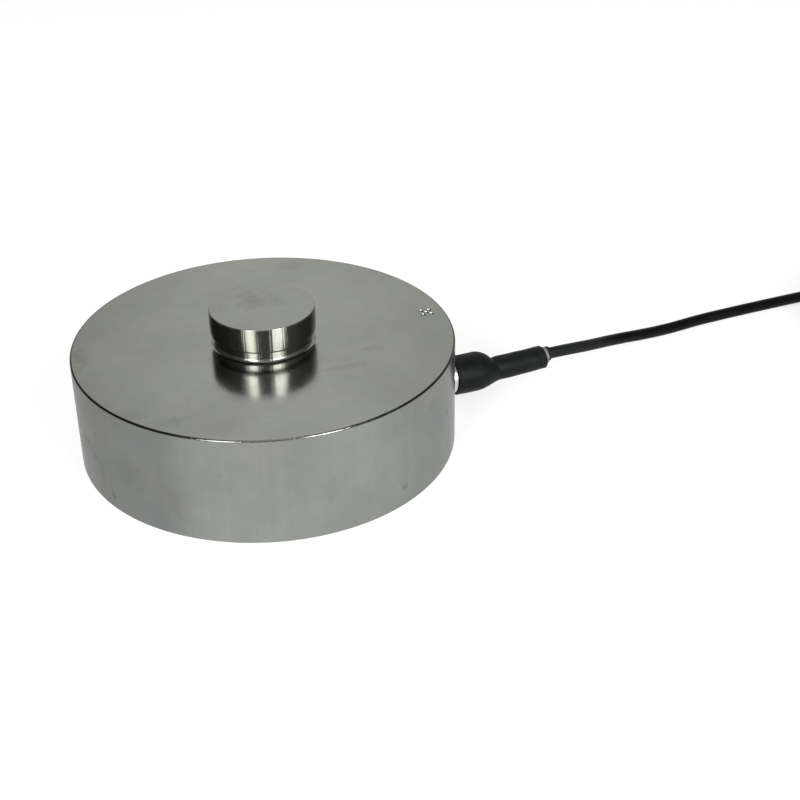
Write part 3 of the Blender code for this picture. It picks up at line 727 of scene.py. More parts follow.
def round_the_axis(material):
    """Coordinates that change only round the axis, without a seam."""
    flat = add_node(material, "ShaderNodeVectorMath")
    flat.operation = "MULTIPLY"
    flat.inputs[1].default_value = (1.0, 1.0, 0.0)
    connect(material, own_place(material), flat.inputs[0])
    unit = add_node(material, "ShaderNodeVectorMath")
    unit.operation = "NORMALIZE"
    connect(material, flat.outputs["Vector"], unit.inputs[0])
    return unit.outputs["Vector"]


print("ragged edge of a smudge, mm:", RAGGED / MM)

# %% [markdown]
# Two kinds of steel come from these. Ground steel is cloudy, with fine lines
# along one direction. Polished steel was turned first, so all that is uneven
# in it runs up its side or round its axis, and its reflections break up into
# soft upright streaks. The outline above says which face gets which.

# %% Ground and polished steel
EDGE_TINT = (0.75, 0.75, 0.75)
LINE_DEPTH = 0.0006 * MM


def bare_steel(name, colour, roughness):
    """Plain steel, whose mirror image is a little weaker at low angles."""
    finish = start_finish(name, colour, roughness, metallic=1.0)
    give(finish, "Specular Tint", EDGE_TINT)
    return finish


def ground_steel(name, cool, warm, roughness, cloud, spots_and_highlights=(), streaked=0.0):
    """Finely ground steel with faint stains, a few smudge marks and upright streaks."""
    finish = bare_steel(name, cool, roughness)
    tint = rescale(finish, blotches(finish, cloud, detail=2.0), 0.0, 1.0, 0.25, 0.75)
    wide = rescale(finish, blotches(finish, 2.5 * cloud, detail=2.0, shift=4.0), 0.95, 1.04)
    small = rescale(finish, blotches(finish, 0.35 * cloud, detail=4.0, shift=9.0), 0.98, 1.02)
    shade = calculate(finish, "MULTIPLY", wide, small)
    if streaked:
        streaks = blotches(finish, 0.05, detail=4.0, place=round_the_axis(finish), shift=2.0)
        streaks = rescale(finish, streaks, 1.0 - streaked, 1.0 + streaked)
        shade = calculate(finish, "MULTIPLY", shade, streaks)
    faint = rescale(finish, blotches(finish, 0.7 * cloud, shift=21.0), 1.0, 0.93, 0.64, 0.76)
    shade = add_spots_and_highlights(finish, calculate(finish, "MULTIPLY", shade, faint), spots_and_highlights)
    give(finish, "Base Color", shaded(finish, mix_colours(finish, tint, cool, warm), shade))
    uneven = blotches(finish, 0.8 * cloud, detail=4.0, shift=13.0)
    uneven_gloss(finish, uneven, roughness - 0.02, roughness + 0.03)
    lines = blotches(finish, 0.12 * MM, detail=1.0, stretch=(90.0, 1.0, 1.0))
    emboss(finish, lines, LINE_DEPTH)
    return finish


def polished_steel(name, colour, roughness, spots_and_highlights=()):
    """Turned and polished steel, slightly uneven round the axis."""
    finish = bare_steel(name, colour, roughness)
    round_place = round_the_axis(finish)
    streaks = blotches(finish, 0.09, detail=5.0, place=round_place)
    fine_streaks = blotches(finish, 0.024, place=round_place, shift=5.0)
    shade = add_spots_and_highlights(finish, rescale(finish, streaks, 0.88, 1.1), spots_and_highlights)
    give(finish, "Base Color", shaded(finish, colour, shade))
    uneven_gloss(finish, fine_streaks, roughness, roughness + 0.07)
    relief = emboss(finish, fine_streaks, 0.028 * MM)
    turning = blotches(finish, 0.10 * MM, detail=1.0, stretch=(400.0, 400.0, 1.0))
    emboss(finish, turning, LINE_DEPTH, under=relief)
    return finish


plate_steel = ground_steel(
    "plate_steel", (0.296, 0.310, 0.288), (0.312, 0.314, 0.282), 0.16, 9.0 * MM, PLATE_SMUDGES
)
side_steel = ground_steel(
    "side_steel", (0.288, 0.311, 0.301), (0.314, 0.318, 0.289), 0.26, 9.0 * MM, SIDE_SMUDGES, 0.022
)
button_steel = polished_steel("button_steel", (0.270, 0.270, 0.250), 0.08)
# Painted shade: the rim's very dark colour stands in for the dark room that its rounded edge reflects.
rim_painted_shade_steel = polished_steel("rim_painted_shade_steel", (0.070, 0.070, 0.066), 0.12, RIM_PAINTED_HIGHLIGHT)
punched_steel = polished_steel("punched_steel", (0.520, 0.520, 0.500), 0.12)
inside_steel = ground_steel("inside_steel", (0.30, 0.30, 0.29), (0.34, 0.33, 0.31), 0.34, 5.0 * MM)
print("steel finishes:", plate_steel.name, side_steel.name, button_steel.name)

# %% [markdown]
# The outlet is drilled through the wall and spot-faced, so the round side gets
# a flat seat for the nipple. The finisher's mark near the edge of the plate is
# five small round punch dots. Both are cut with a tool, as in the workshop. Each
# cut is applied at once and its tool thrown away, so that one clean mesh stays.

# %% Body with its outlet and punch dots
OUTLET_HEIGHT = 6.75 * MM
SPOT_FACE = 44.5 * MM
NIPPLE_RADIUS = 4.4 * MM
SHANK_BORE = 3.1 * MM
FIT_GAP = 0.3 * MM
CUTTER_PAST_SIDE = 9.0 * MM
CUTTER_PAST_WALL = 3.0 * MM
MARK_PLACE = (40.4 * MM, -1.0 * MM)
MARK_HALF = 1.0 * MM
DOT_RADIUS = 0.66 * MM
DOT_SLOPE = math.radians(74.0)
MARK_TURN = math.radians(41.0)


def lay_along_outlet(piece):
    """Turn a piece made about Z so that it lies on the outlet's axis."""
    lie = Quaternion((0.0, 1.0, 0.0), math.radians(90.0)).to_matrix().to_4x4()
    lie.translation = (0.0, 0.0, OUTLET_HEIGHT)
    piece.data.transform(lie)
    return piece


def carve(piece, tool):
    """Cut a piece with a tool, keep the result and throw the tool away."""
    cut = piece.modifiers.new("cut", "BOOLEAN")
    cut.operation = "DIFFERENCE"
    cut.solver = "EXACT"
    cut.object = tool
    bpy.context.view_layer.update()
    ready = piece.evaluated_get(bpy.context.evaluated_depsgraph_get())
    carved = bpy.data.meshes.new_from_object(ready)
    piece.modifiers.clear()
    piece.data = carved
    bpy.data.objects.remove(tool, do_unlink=True)
    carved.set_sharp_from_angle(angle=math.radians(32.0))


def outlet_tool():
    """Drill and spot-face cutter, lying on the outlet's axis."""
    spot = NIPPLE_RADIUS + FIT_GAP
    far = BODY_RADIUS + CUTTER_PAST_SIDE
    near = CAVITY_RADIUS - CUTTER_PAST_WALL
    points = [(0.0, far), (spot, far), (spot, SPOT_FACE)]
    points += [(SHANK_BORE, SPOT_FACE), (SHANK_BORE, near), (0.0, near)]
    tool = turned_piece("outlet_tool", finished(points, 0), [side_steel], segments=96)
    return lay_along_outlet(tool)


def punch_tool():
    """Five balls, one in the middle and one at each corner of a square."""
    shape = bmesh.new()
    ball = DOT_RADIUS / math.sin(DOT_SLOPE)
    height = BODY_HEIGHT + ball * math.cos(DOT_SLOPE)
    corners = [polar(MARK_HALF * math.sqrt(2.0), MARK_TURN + math.tau * step / 4) for step in range(4)]
    for across, along in [(0.0, 0.0), *corners]:
        place = Matrix.Translation((MARK_PLACE[0] + across, MARK_PLACE[1] + along, height))
        bmesh.ops.create_uvsphere(shape, u_segments=24, v_segments=16, radius=ball, matrix=place)
    for face in shape.faces:
        face.material_index = PUNCHED
    return to_piece("punch_tool", shape, [plate_steel] * (PUNCHED + 1))


body_finishes = [plate_steel, button_steel, rim_painted_shade_steel, side_steel, inside_steel, punched_steel]
body = turned_piece("body", body_outline(), body_finishes)
carve(body, outlet_tool())
carve(body, punch_tool())
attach(body, "root")
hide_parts("sensor_body")
print("faces on the body:", len(body.data.polygons))

# %% [markdown]
# The nipple is the bright steel tube that shows as a thin crescent between the
# body and the sleeve. It is turned like the body and then laid along the
# outlet. Its collar keeps faint turning marks, and its mouth is rounded.

# %% Cable nipple
NIPPLE_END = 54.0 * MM
NIPPLE_BORE = 3.2 * MM
NIPPLE_ROUND = 0.4 * MM
SHANK_RADIUS = 2.8 * MM
SHANK_END = 32.0 * MM
CABLE_BORE = 1.8 * MM
CUP_FLOOR = 47.3 * MM


def turned_steel(name, dark, light, roughness):
    """Bright steel straight from the lathe, with fine turning marks."""
    finish = start_finish(name, light, roughness, metallic=1.0)
    give(finish, "Base Color", clouded(finish, 1.6 * MM, dark, light))
    uneven = blotches(finish, 0.7 * MM, detail=2.0, shift=3.0)
    uneven_gloss(finish, uneven, roughness - 0.04, roughness + 0.06)
    marks = blotches(finish, 0.14 * MM, detail=1.0, stretch=(1.0, 300.0, 300.0))
    emboss(finish, marks, 0.002 * MM)
    return finish


nipple_steel = turned_steel("nipple_steel", (0.52, 0.52, 0.50), (0.68, 0.68, 0.66), 0.20)
mouth_corner = (NIPPLE_RADIUS - NIPPLE_ROUND, NIPPLE_END - NIPPLE_ROUND)
nipple_outline = [(NIPPLE_BORE, NIPPLE_END)]
nipple_outline += arc(mouth_corner, NIPPLE_ROUND, 90.0, 0.0, 4)
nipple_outline += [
    (NIPPLE_RADIUS, SPOT_FACE + FIT_GAP),
    (SHANK_RADIUS, SPOT_FACE + FIT_GAP),
    (SHANK_RADIUS, SHANK_END),
    (CABLE_BORE, SHANK_END),
    (CABLE_BORE, CUP_FLOOR),
    (NIPPLE_BORE, CUP_FLOOR),
]
nipple = turned_piece("nipple", finished(nipple_outline, 0), [nipple_steel], 128, closed=True)
lay_along_outlet(nipple)
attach(nipple, "root")
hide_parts("cable_nipple")
print("nipple reaches, mm:", NIPPLE_END / MM)

# %% [markdown]
# A shrink sleeve is a skin that has closed round what is under it. A swept
# skin can follow that: its radius may depend on both the distance along the
# cable and the angle round it. The same helper makes the glue, the inner
# sleeve and the short sleeve at the cable's far end. Their rubber is matt and
# pebbled, with a few pale specks of dust.

# %% Swept sleeves
DUST = (0.20, 0.21, 0.20)


def join_rings(shape, rings):
    """Faces between each ring of corners and the next, and the last and first."""
    for ring, following in zip(rings, rings[1:] + rings[:1]):
        for index in range(len(ring)):
            beside = (index + 1) % len(ring)
            shape.faces.new((ring[index], ring[beside], following[beside], following[index]))


def swept_skin(name, line, profile, segments, finish, swell=None, slant=None):
    """Sweep a closed profile of (distance, radius, drop) points along a line.

    The drop hangs a ring below the line. A swell changes the radius by the
    distance and by the angle round the sleeve, which is 90 degrees on top. A
    slant leans each ring back towards the body at the top.
    """
    shape = bmesh.new()
    rings = []
    for number, (distance, radius, drop) in enumerate(profile):
        centre, along = place_on(line, distance)
        side = Vector((0.0, 0.0, 1.0)).cross(along).normalized()
        above = along.cross(side)
        centre = centre - above * drop
        ring = []
        for index in range(segments):
            angle = math.tau * index / segments
            reach = radius + (swell(number, distance, angle) if swell else 0.0)
            lean = slant(distance) * math.sin(angle) if slant else 0.0
            spoke = side * math.cos(angle) + above * math.sin(angle)
            ring.append(shape.verts.new(centre + spoke * reach - along * lean))
        rings.append(ring)
    join_rings(shape, rings)
    return to_piece(name, shape, [finish], sharp=48.0)


def shrink_rubber(name, dark, light, roughness, dust):
    """Matt black sleeve with a pebbled skin and a few specks of dust."""
    finish = start_finish(name, light, roughness)
    give(finish, "Specular IOR Level", SOFT_SHINE)
    specks = blotches(finish, 0.30 * MM, detail=1.0, shift=31.0)
    specks = rescale(finish, specks, 0.0, dust, 0.78, 0.84)
    black = clouded(finish, 2.6 * MM, dark, light)
    give(finish, "Base Color", mix_colours(finish, specks, black, DUST))
    uneven_gloss(finish, blotches(finish, 1.2 * MM, shift=5.0), roughness - 0.06, roughness + 0.08)
    pebbles = emboss(finish, blotches(finish, 0.18 * MM, detail=2.0), 0.010 * MM)
    emboss(finish, blotches(finish, 1.1 * MM, detail=2.0, shift=2.0), 0.030 * MM, under=pebbles)
    return finish


outer_rubber = shrink_rubber("outer_sleeve_rubber", (0.006, 0.007, 0.007), (0.010, 0.011, 0.011), 0.46, 0.35)
print("sleeve rubber:", outer_rubber.name)


# %% [markdown]
# The outer sleeve stays wide over the nipple, falls in over the end of it and
# hugs the cable beyond. Heat shrinks it from one side first, so above the cable
# it folds in abruptly and leaves a crease, and below it slopes gently. The
# wrinkles and the bumps along its rims are real shape, worked out from a few
# sine waves. Its far end was cut at a slant.

# %% How the sleeve falls in
SHRINK_GAP = 0.18 * MM
GLUE_RING_BORE = 2.04 * MM
START_ALONG = BODY_RADIUS - CABLE_POINTS[0][0]
MOUTH_ALONG = START_ALONG + 2.85 * MM
WIDE_END_ALONG = START_ALONG + 9.3 * MM
NARROW_ALONG = WIDE_END_ALONG + 5.0 * MM
SLEEVE_END_ALONG = NARROW_ALONG + 13.9 * MM
SLEEVE_ROUND = 0.15 * MM
WIDE_RADIUS = 4.95 * MM
NARROW_RADIUS = 3.10 * MM
NARROW_DROP = 0.60 * MM
SHOULDER_DROP = 0.34 * MM
CREASE_DEPTH = 0.28 * MM
CREASE_AHEAD = 0.7 * MM
CREASE_LAG = 1.8 * MM
FALL_AHEAD = 0.9 * MM
END_TAPER = 0.12 * MM
END_SLANT = 0.26 * MM


def crease_place(angle):
    """Where the sleeve has become narrow, earliest on top."""
    return NARROW_ALONG + CREASE_LAG * (0.5 - 0.5 * math.sin(angle)) - CREASE_AHEAD


def sleeve_fall(distance, angle):
    """How far the sleeve has fallen in from wide to narrow, from 0 to 1."""
    above = 0.5 + 0.5 * math.sin(angle)
    start = WIDE_END_ALONG - FALL_AHEAD * (1.0 - above)
    share = min(1.0, max(0.0, (distance - start) / (crease_place(angle) - start)))
    sloping = ease(share)
    return sloping + (share**2.2 - sloping) * above


print("outer sleeve, mm long:", round((SLEEVE_END_ALONG - MOUTH_ALONG) / MM, 1))

# %% [markdown]
# The sleeve's skin is drawn as a closed profile: along the outside with both
# rims rounded, and back along the inside. The swell then moves each point in
# or out: down from wide to narrow, in a little more at the crease, and in fine
# waves over the edge of the nipple, where the folds of a tight skin gather.

# %% Outer shrink sleeve
def outer_profile():
    """Outside and inside of the outer sleeve, as (distance, inset, drop)."""
    last = SLEEVE_END_ALONG - SLEEVE_ROUND
    outside = arc((MOUTH_ALONG + SLEEVE_ROUND, -SLEEVE_ROUND), SLEEVE_ROUND, 180.0, 90.0, 4)
    outside += [(distance, 0.0) for distance in spaced(MOUTH_ALONG + 0.6 * MM, last, 64)]
    outside += arc((last, -SLEEVE_ROUND), SLEEVE_ROUND, 90.0, 0.0, 4)[1:]
    profile = []
    for distance, inset in outside:
        hang = min(1.0, max(0.0, (distance - NARROW_ALONG) / (last - NARROW_ALONG)))
        slump = ease((distance - WIDE_END_ALONG) / (NARROW_ALONG - WIDE_END_ALONG))
        profile.append((distance, inset, SHOULDER_DROP * slump + (NARROW_DROP - SHOULDER_DROP) * hang))
    return profile + [(distance, None, 0.0) for distance in spaced(SLEEVE_END_ALONG, MOUTH_ALONG, 14)]


def outer_swell(number, distance, angle):
    """Radius of the outer sleeve at a distance and an angle."""
    fall = sleeve_fall(distance, angle)
    inset = outer_points[number][1]
    if inset is None:
        return (NIPPLE_RADIUS + SHRINK_GAP) * (1.0 - fall) + GLUE_RING_BORE * fall
    hang = max(0.0, (distance - NARROW_ALONG) / (SLEEVE_END_ALONG - NARROW_ALONG))
    radius = WIDE_RADIUS * (1.0 - fall) + (NARROW_RADIUS - END_TAPER * hang) * fall
    over_edge = math.exp(-(((distance - WIDE_END_ALONG) / (1.6 * MM)) ** 2))
    creases = math.sin(7.0 * angle + 0.9) + 0.6 * math.sin(11.0 * angle + 2.3)
    radius += 0.035 * MM * over_edge * creases
    crease = math.exp(-(((distance - crease_place(angle) - 0.2 * MM) / (0.9 * MM)) ** 2))
    radius -= CREASE_DEPTH * crease * max(0.0, 0.4 + 0.6 * math.sin(angle))
    waist = math.sin(2.0 * math.pi * distance / (6.3 * MM) + angle)
    radius += 0.02 * MM * waist + 0.015 * MM * math.sin(3.0 * angle + 400.0 * distance)
    return radius + inset


def end_slant(distance):
    """The far end of the sleeve was cut at a slant, the near end wasn't."""
    return END_SLANT * ease((distance - NARROW_ALONG) / (SLEEVE_END_ALONG - NARROW_ALONG))


outer_points = outer_profile()
plain_profile = [(distance, 0.0, drop) for distance, _, drop in outer_points]
outer_sleeve = swept_skin(
    "shrink_sleeve", cable_line, plain_profile, 96, outer_rubber, outer_swell, end_slant
)
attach(outer_sleeve, "root")
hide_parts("outer_sleeve")
print("rings on the outer sleeve:", len(outer_points))

# %% [markdown]
# Hot-melt glue lines the outer sleeve, and a little of it has been squeezed
# out as a grey ring. Just past the ring, the lip of a thinner inner sleeve
# stands on the cable. Both are small, but the pale ring is what the eye finds
# first on the black cable, so it gets a soft rounded back and uneven rims.

# %% Glue ring and inner sleeve
GLUE_ALONG = SLEEVE_END_ALONG + 0.1 * MM
GLUE_LENGTH = 0.86 * MM
GLUE_RADIUS = 2.24 * MM
GLUE_TUCK = 0.10 * MM
GLUE_STEPS = 8
INNER_BORE = 1.68 * MM
INNER_RADIUS = 1.86 * MM
INNER_FLARE = 0.07 * MM
INNER_START_ALONG = START_ALONG + 11.2 * MM
INNER_END_ALONG = SLEEVE_END_ALONG + 1.7 * MM


def glue_profile():
    """A ring with a rounded back."""
    low = GLUE_RING_BORE + GLUE_TUCK
    profile = []
    for turn in spaced(0.0, math.pi, GLUE_STEPS):
        along = GLUE_ALONG + GLUE_LENGTH * (0.5 - 0.5 * math.cos(turn))
        profile.append((along, low + (GLUE_RADIUS - low) * math.sin(turn) ** 0.5, NARROW_DROP * 0.35))
    ends = (GLUE_ALONG + GLUE_LENGTH, GLUE_ALONG)
    return profile + [(along, GLUE_RING_BORE - GLUE_TUCK, 0.0) for along in ends]


def glue_swell(number, distance, angle):
    """Uneven thickness of the squeezed-out glue."""
    if number > GLUE_STEPS:
        return 0.0
    return 0.03 * MM * (math.sin(3.0 * angle + 1.0) + math.sin(5.0 * angle + 2000.0 * distance))


def hot_melt(name):
    """Grey, waxy, slightly see-through looking glue."""
    finish = start_finish(name, (0.18, 0.18, 0.17), 0.42)
    give(finish, "Base Color", clouded(finish, 0.6 * MM, (0.14, 0.14, 0.13), (0.23, 0.23, 0.22)))
    uneven_gloss(finish, blotches(finish, 0.4 * MM, shift=3.0), 0.34, 0.52)
    give(finish, "Subsurface Weight", 0.12)
    give(finish, "Subsurface Scale", 1.0)
    shader_input(finish, "Subsurface Radius").default_value = (0.6 * MM, 0.6 * MM, 0.5 * MM)
    emboss(finish, blotches(finish, 0.25 * MM, detail=2.0), 0.02 * MM)
    return finish


def inner_profile():
    """Thin sleeve with a slightly flared, rounded lip."""
    profile = []
    for distance in spaced(INNER_START_ALONG, INNER_END_ALONG, 24):
        flare = INNER_FLARE * math.exp(-(((INNER_END_ALONG - distance) / (0.5 * MM)) ** 2))
        profile.append((distance, INNER_RADIUS + flare, 0.0))
    profile.append((INNER_END_ALONG + 0.05 * MM, INNER_RADIUS, 0.0))
    return profile + [(INNER_END_ALONG, INNER_BORE, 0.0), (INNER_START_ALONG, INNER_BORE, 0.0)]


glue_grey = hot_melt("glue_grey")
inner_film = shrink_rubber("inner_sleeve_film", (0.010, 0.010, 0.010), (0.016, 0.016, 0.015), 0.40, 0.1)
glue_ring = swept_skin(
    "squeezed_glue", cable_line, glue_profile(), 72, glue_grey, glue_swell, end_slant
)
inner_sleeve = swept_skin("inner_lip", cable_line, inner_profile(), 64, inner_film)
for piece, node, slot in (
    (glue_ring, "glue_ring", "hot_melt_glue"),
    (inner_sleeve, "inner_sleeve", "inner_sleeve_polyolefin"),
):
    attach(piece, "root")
    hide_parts(node)
print("glue ring, mm long:", GLUE_LENGTH / MM)

# %% [markdown]
# A woven strap holds the coil. It is one band bent round the coil's section,
# with its end lapped over its own start on top. It is modelled as one skin
# between an inner and an outer path, which needs far fewer faces than threads.

# %% Shape of the strap
STRAP_WIDTH = 8.0 * MM
STRAP_INNER = 13.85 * MM
STRAP_OUTER = 30.4 * MM
STRAP_CORNER = 1.0 * MM
LAP_START = 18.4 * MM
LAP_END = 23.4 * MM
LAP_TUCK = 2.0 * MM
LAP_RISE = 1.3 * MM
LAP_LEAD = 1.5 * MM
STRAP_EDGE = 0.25 * MM


def strap_path(grow):
    """The band's section, from under the lap all the way round onto the lap."""
    left = STRAP_INNER - grow
    right = STRAP_OUTER + grow
    low = STRAP_THICKNESS - grow
    high = STRAP_TOP + grow
    corner = STRAP_CORNER + grow
    lap = high + STRAP_THICKNESS + 0.02 * MM
    path = [(LAP_START, high), (LAP_END, high), (LAP_END + LAP_TUCK, high)]
    path += arc((right - corner, high - corner), corner, 90.0, 0.0)
    path += arc((right - corner, low + corner), corner, 0.0, -90.0)
    path += arc((left + corner, low + corner), corner, -90.0, -180.0)
    path += arc((left + corner, high - corner), corner, 180.0, 90.0)
    rise = LAP_START - LAP_LEAD
    path += [(rise + LAP_RISE * share, high + (lap - high) * ease(share)) for share in spaced(0.0, 1.0, 6)]
    return path + [(along, lap) for along in spaced(LAP_START, LAP_END, 4)[1:]]


def band(name, low_path, high_path, width, finish):
    """A flat band between two paths, with both edges rounded off."""
    shape = bmesh.new()
    half = width / 2
    inside = half - STRAP_EDGE
    rows = ((-half, 0.5), (-inside, 0.0), (inside, 0.0), (half, 0.5), (inside, 1.0), (-inside, 1.0))
    loops = []
    for across, share in rows:
        places = [
            (a[0] + (b[0] - a[0]) * share, across, a[1] + (b[1] - a[1]) * share)
            for a, b in zip(low_path, high_path)
        ]
        loops.append([shape.verts.new(place) for place in places])
    for loop, beside in zip(loops, loops[1:] + loops[:1]):
        for index in range(len(loop) - 1):
            shape.faces.new((loop[index], loop[index + 1], beside[index + 1], beside[index]))
    shape.faces.new([loop[0] for loop in loops])
    shape.faces.new([loop[-1] for loop in reversed(loops)])
    return to_piece(name, shape, [finish], sharp=50.0)


print("points round the strap:", len(strap_path(0.0)))

# %% [markdown]
# The strap's weave is two sets of fine waves crossing each other, one along
# the band and one across it. Blender counts a wave texture's size in its own
# way, and 0.314 over a length makes waves of that length.

# %% Woven cloth and the finished strap
WAVE_SCALE = 0.314


def waves(material, axis, size, wander=0.0):
    """Fine even waves along one axis, from 0 to 1."""
    wave = add_node(material, "ShaderNodeTexWave")
    wave.bands_direction = axis
    wave.inputs["Scale"].default_value = WAVE_SCALE / size
    wave.inputs["Distortion"].default_value = wander
    connect(material, own_place(material), wave.inputs["Vector"])
    return wave.outputs[1]


def woven_strap(name):
    """Black nylon webbing."""
    finish = start_finish(name, (0.022, 0.022, 0.024), 0.72)
    lengthwise = waves(finish, "X", 0.55 * MM, wander=0.6)
    crosswise = waves(finish, "Y", 0.42 * MM, wander=0.6)
    weave = calculate(finish, "MULTIPLY", lengthwise, crosswise)
    worn = clouded(finish, 3.0 * MM, (0.016, 0.016, 0.018), (0.032, 0.032, 0.034))
    raised = calculate(finish, "MULTIPLY", weave, 0.5)
    give(finish, "Base Color", mix_colours(finish, raised, worn, (0.055, 0.055, 0.058)))
    give(finish, "Sheen Weight", 0.25)
    emboss(finish, weave, 0.08 * MM)
    return finish


strap_cloth = woven_strap("strap_cloth")
strap = band("coil_strap", strap_path(0.0), strap_path(STRAP_THICKNESS), STRAP_WIDTH, strap_cloth)
strap.rotation_euler = (0.0, 0.0, math.radians(STRAP_ANGLE))
strap.location = COIL_CENTRE
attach(strap, "root")
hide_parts("coil_tie")
print("strap wraps, mm:", round((STRAP_OUTER - STRAP_INNER) / MM, 1), "by", STRAP_TOP / MM)

# %% [markdown]
# At the far end the jacket is stripped under a short sleeve. It is swept along
# the coil's last stretch like the sleeves near the body. Both of its mouths are
# rounded, and it is pinched a little where it has left the jacket.

# %% Sleeve at the cable's end
LEAD_RADIUS = COIL_RADIUS - COIL_PITCH
END_SLEEVE_RADIUS = 2.13 * MM
END_SLEEVE_ROUND = 0.15 * MM
END_SLEEVE_PINCH = 0.06 * MM
ON_JACKET = 7.0 * MM
PAST_JACKET = 2.5 * MM

end_span = spaced(END_START_ANGLE, END_STOP_ANGLE - 90.0, 120)
end_line = [around_coil(angle, LEAD_RADIUS, END_HEIGHT) for angle in end_span]
jacket_stop = math.radians(END_START_ANGLE - END_STOP_ANGLE) * LEAD_RADIUS


def end_sleeve_profile():
    """A short sleeve with rounded mouths, most of it on the jacket."""
    first, last = jacket_stop - ON_JACKET, jacket_stop + PAST_JACKET
    low = END_SLEEVE_RADIUS - END_SLEEVE_ROUND
    points = [(first, INNER_BORE)]
    points += arc((first + END_SLEEVE_ROUND, low), END_SLEEVE_ROUND, 180.0, 90.0, 3)
    for share in spaced(0.0, 1.0, 12)[1:-1]:
        pinch = END_SLEEVE_PINCH * ease((share - 0.6) / 0.3)
        points.append((first + (last - first) * share, END_SLEEVE_RADIUS - pinch))
    points += arc((last - END_SLEEVE_ROUND, low), END_SLEEVE_ROUND, 90.0, 0.0, 3)
    return [(distance, radius, 0.0) for distance, radius in [*points, (last, INNER_BORE)]]


end_sleeve = swept_skin("lead_end_sleeve", end_line, end_sleeve_profile(), 48, outer_rubber)
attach(end_sleeve, "root")
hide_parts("end_sleeve")
print("jacket stops after, mm:", round(jacket_stop / MM, 1))

# %% [markdown]
# Four coloured cores fan out on top of the coil and end in tinned strands,
# twisted together by hand. The cores leave the cable in a square of four, so
# each one eases from its place in the square to its own track beside the
# others. One table gives each core's colour and place, and a loop makes them.

# %% Leads and their tips
CORE_RADIUS = 0.38 * MM
CORE_HALF_PITCH = 0.55 * MM
LEAD_LENGTH = 27.0 * MM
LEAD_SPREAD = 2.2 * MM
LEAD_HEIGHT = 12.98 * MM
TIP_LENGTH = 5.0 * MM
STRAND_RADIUS = 0.083 * MM
STRAND_REACH = 0.165 * MM
STRAND_TURNS = 2.2
DEGREES_PER_METRE = math.degrees(1.0 / LEAD_RADIUS)
CORES = (
    ("red", -1, 1, (0.46, 0.020, 0.014)),
    ("black", -1, -1, (0.016, 0.016, 0.017)),
    ("green", 1, -1, (0.020, 0.23, 0.055)),
    ("white", 1, 1, (0.70, 0.70, 0.66)),
)


def lead_line(index, side, rise):
    """One core from its place in the cable to its track beside the others."""
    line = []
    for share in spaced(0.0, 1.0, 60):
        settle = ease(2.5 * share)
        sideways = CORE_HALF_PITCH * side * (1.0 - settle) + LEAD_SPREAD * (index - 1.5) * settle
        height = (END_HEIGHT + CORE_HALF_PITCH * rise) * (1.0 - settle) + LEAD_HEIGHT * settle
        angle = END_STOP_ANGLE - (FIT_GAP + LEAD_LENGTH * share) * DEGREES_PER_METRE
        line.append(around_coil(angle, LEAD_RADIUS + sideways, height))
    return line


def twisted_strands(index):
    """Lines of seven strands, six of them twisted round the first."""
    first = END_STOP_ANGLE - (2 * FIT_GAP + LEAD_LENGTH) * DEGREES_PER_METRE
    track = LEAD_RADIUS + LEAD_SPREAD * (index - 1.5)
    lines = []
    for strand in range(7):
        line = []
        for share in spaced(0.0, 1.0, 40):
            turn = math.tau * (strand / 6 + STRAND_TURNS * share)
            out, up = polar(0.0 if strand == 6 else STRAND_REACH, turn)
            angle = first - TIP_LENGTH * share * DEGREES_PER_METRE
            line.append(around_coil(angle, track + out, LEAD_HEIGHT + up))
        lines.append(line)
    return lines


tinned_copper = turned_steel("tinned_copper", (0.60, 0.60, 0.61), (0.78, 0.78, 0.79), 0.30)
cord_ends = []
core_colours = {}
for index, (name, side, rise, colour) in enumerate(CORES):
    dark = tuple(0.86 * part for part in colour)
    core_colours[name] = soft_plastic("core_" + name, dark, colour, 0.36, 0.25 * MM, 0.004 * MM)
    lead = round_lines("bare_lead_" + name, [lead_line(index, side, rise)], CORE_RADIUS, core_colours[name])
    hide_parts("lead_" + name)
    tip = round_lines("tinned_tip_" + name, twisted_strands(index), STRAND_RADIUS, tinned_copper, 2)
    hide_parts("tip_" + name)
    cord_ends += [lead, tip]
print("leads, mm long:", LEAD_LENGTH / MM)

# %% [markdown]
# The cable's whole length as laid, free stretch and coil together, is printed.

print("cable as laid, m:", round(line_length(cable_line), 3))

# %% [markdown]
# The underside is closed by a thin rolled cover, welded in all round. The weld
# is a row of small overlapping scales, modelled as one rippled bead in the
# corner between the cover and the body's foot.

# %% Bottom cover and its weld
COVER_RADIUS = 35.7 * MM
COVER_UNDERSIDE = 0.8 * MM
WELD_SCALES = 360
WELD_HALF_WIDTH = 0.55 * MM


def weld_bead(name, finish, around=8):
    """A ring of small overlapping weld scales, each three steps long."""
    shape = bmesh.new()
    middle = (COVER_RADIUS + RECESS_RADIUS) / 2
    rings = []
    for step in range(3 * WELD_SCALES):
        turn = math.tau * step / (3 * WELD_SCALES)
        height = (0.34 - 0.10 * ((step % 3) / 3.0)) * MM
        wander = 0.03 * MM * math.sin(17.0 * turn) + 0.02 * MM * math.sin(41.0 * turn)
        ring = []
        for index in range(around):
            angle = math.tau * index / around
            flat = polar(middle + wander + WELD_HALF_WIDTH * math.cos(angle), turn)
            ring.append(shape.verts.new((*flat, COVER_UNDERSIDE + height * math.sin(angle))))
        rings.append(ring)
    join_rings(shape, rings)
    return to_piece(name, shape, [finish], sharp=60.0)


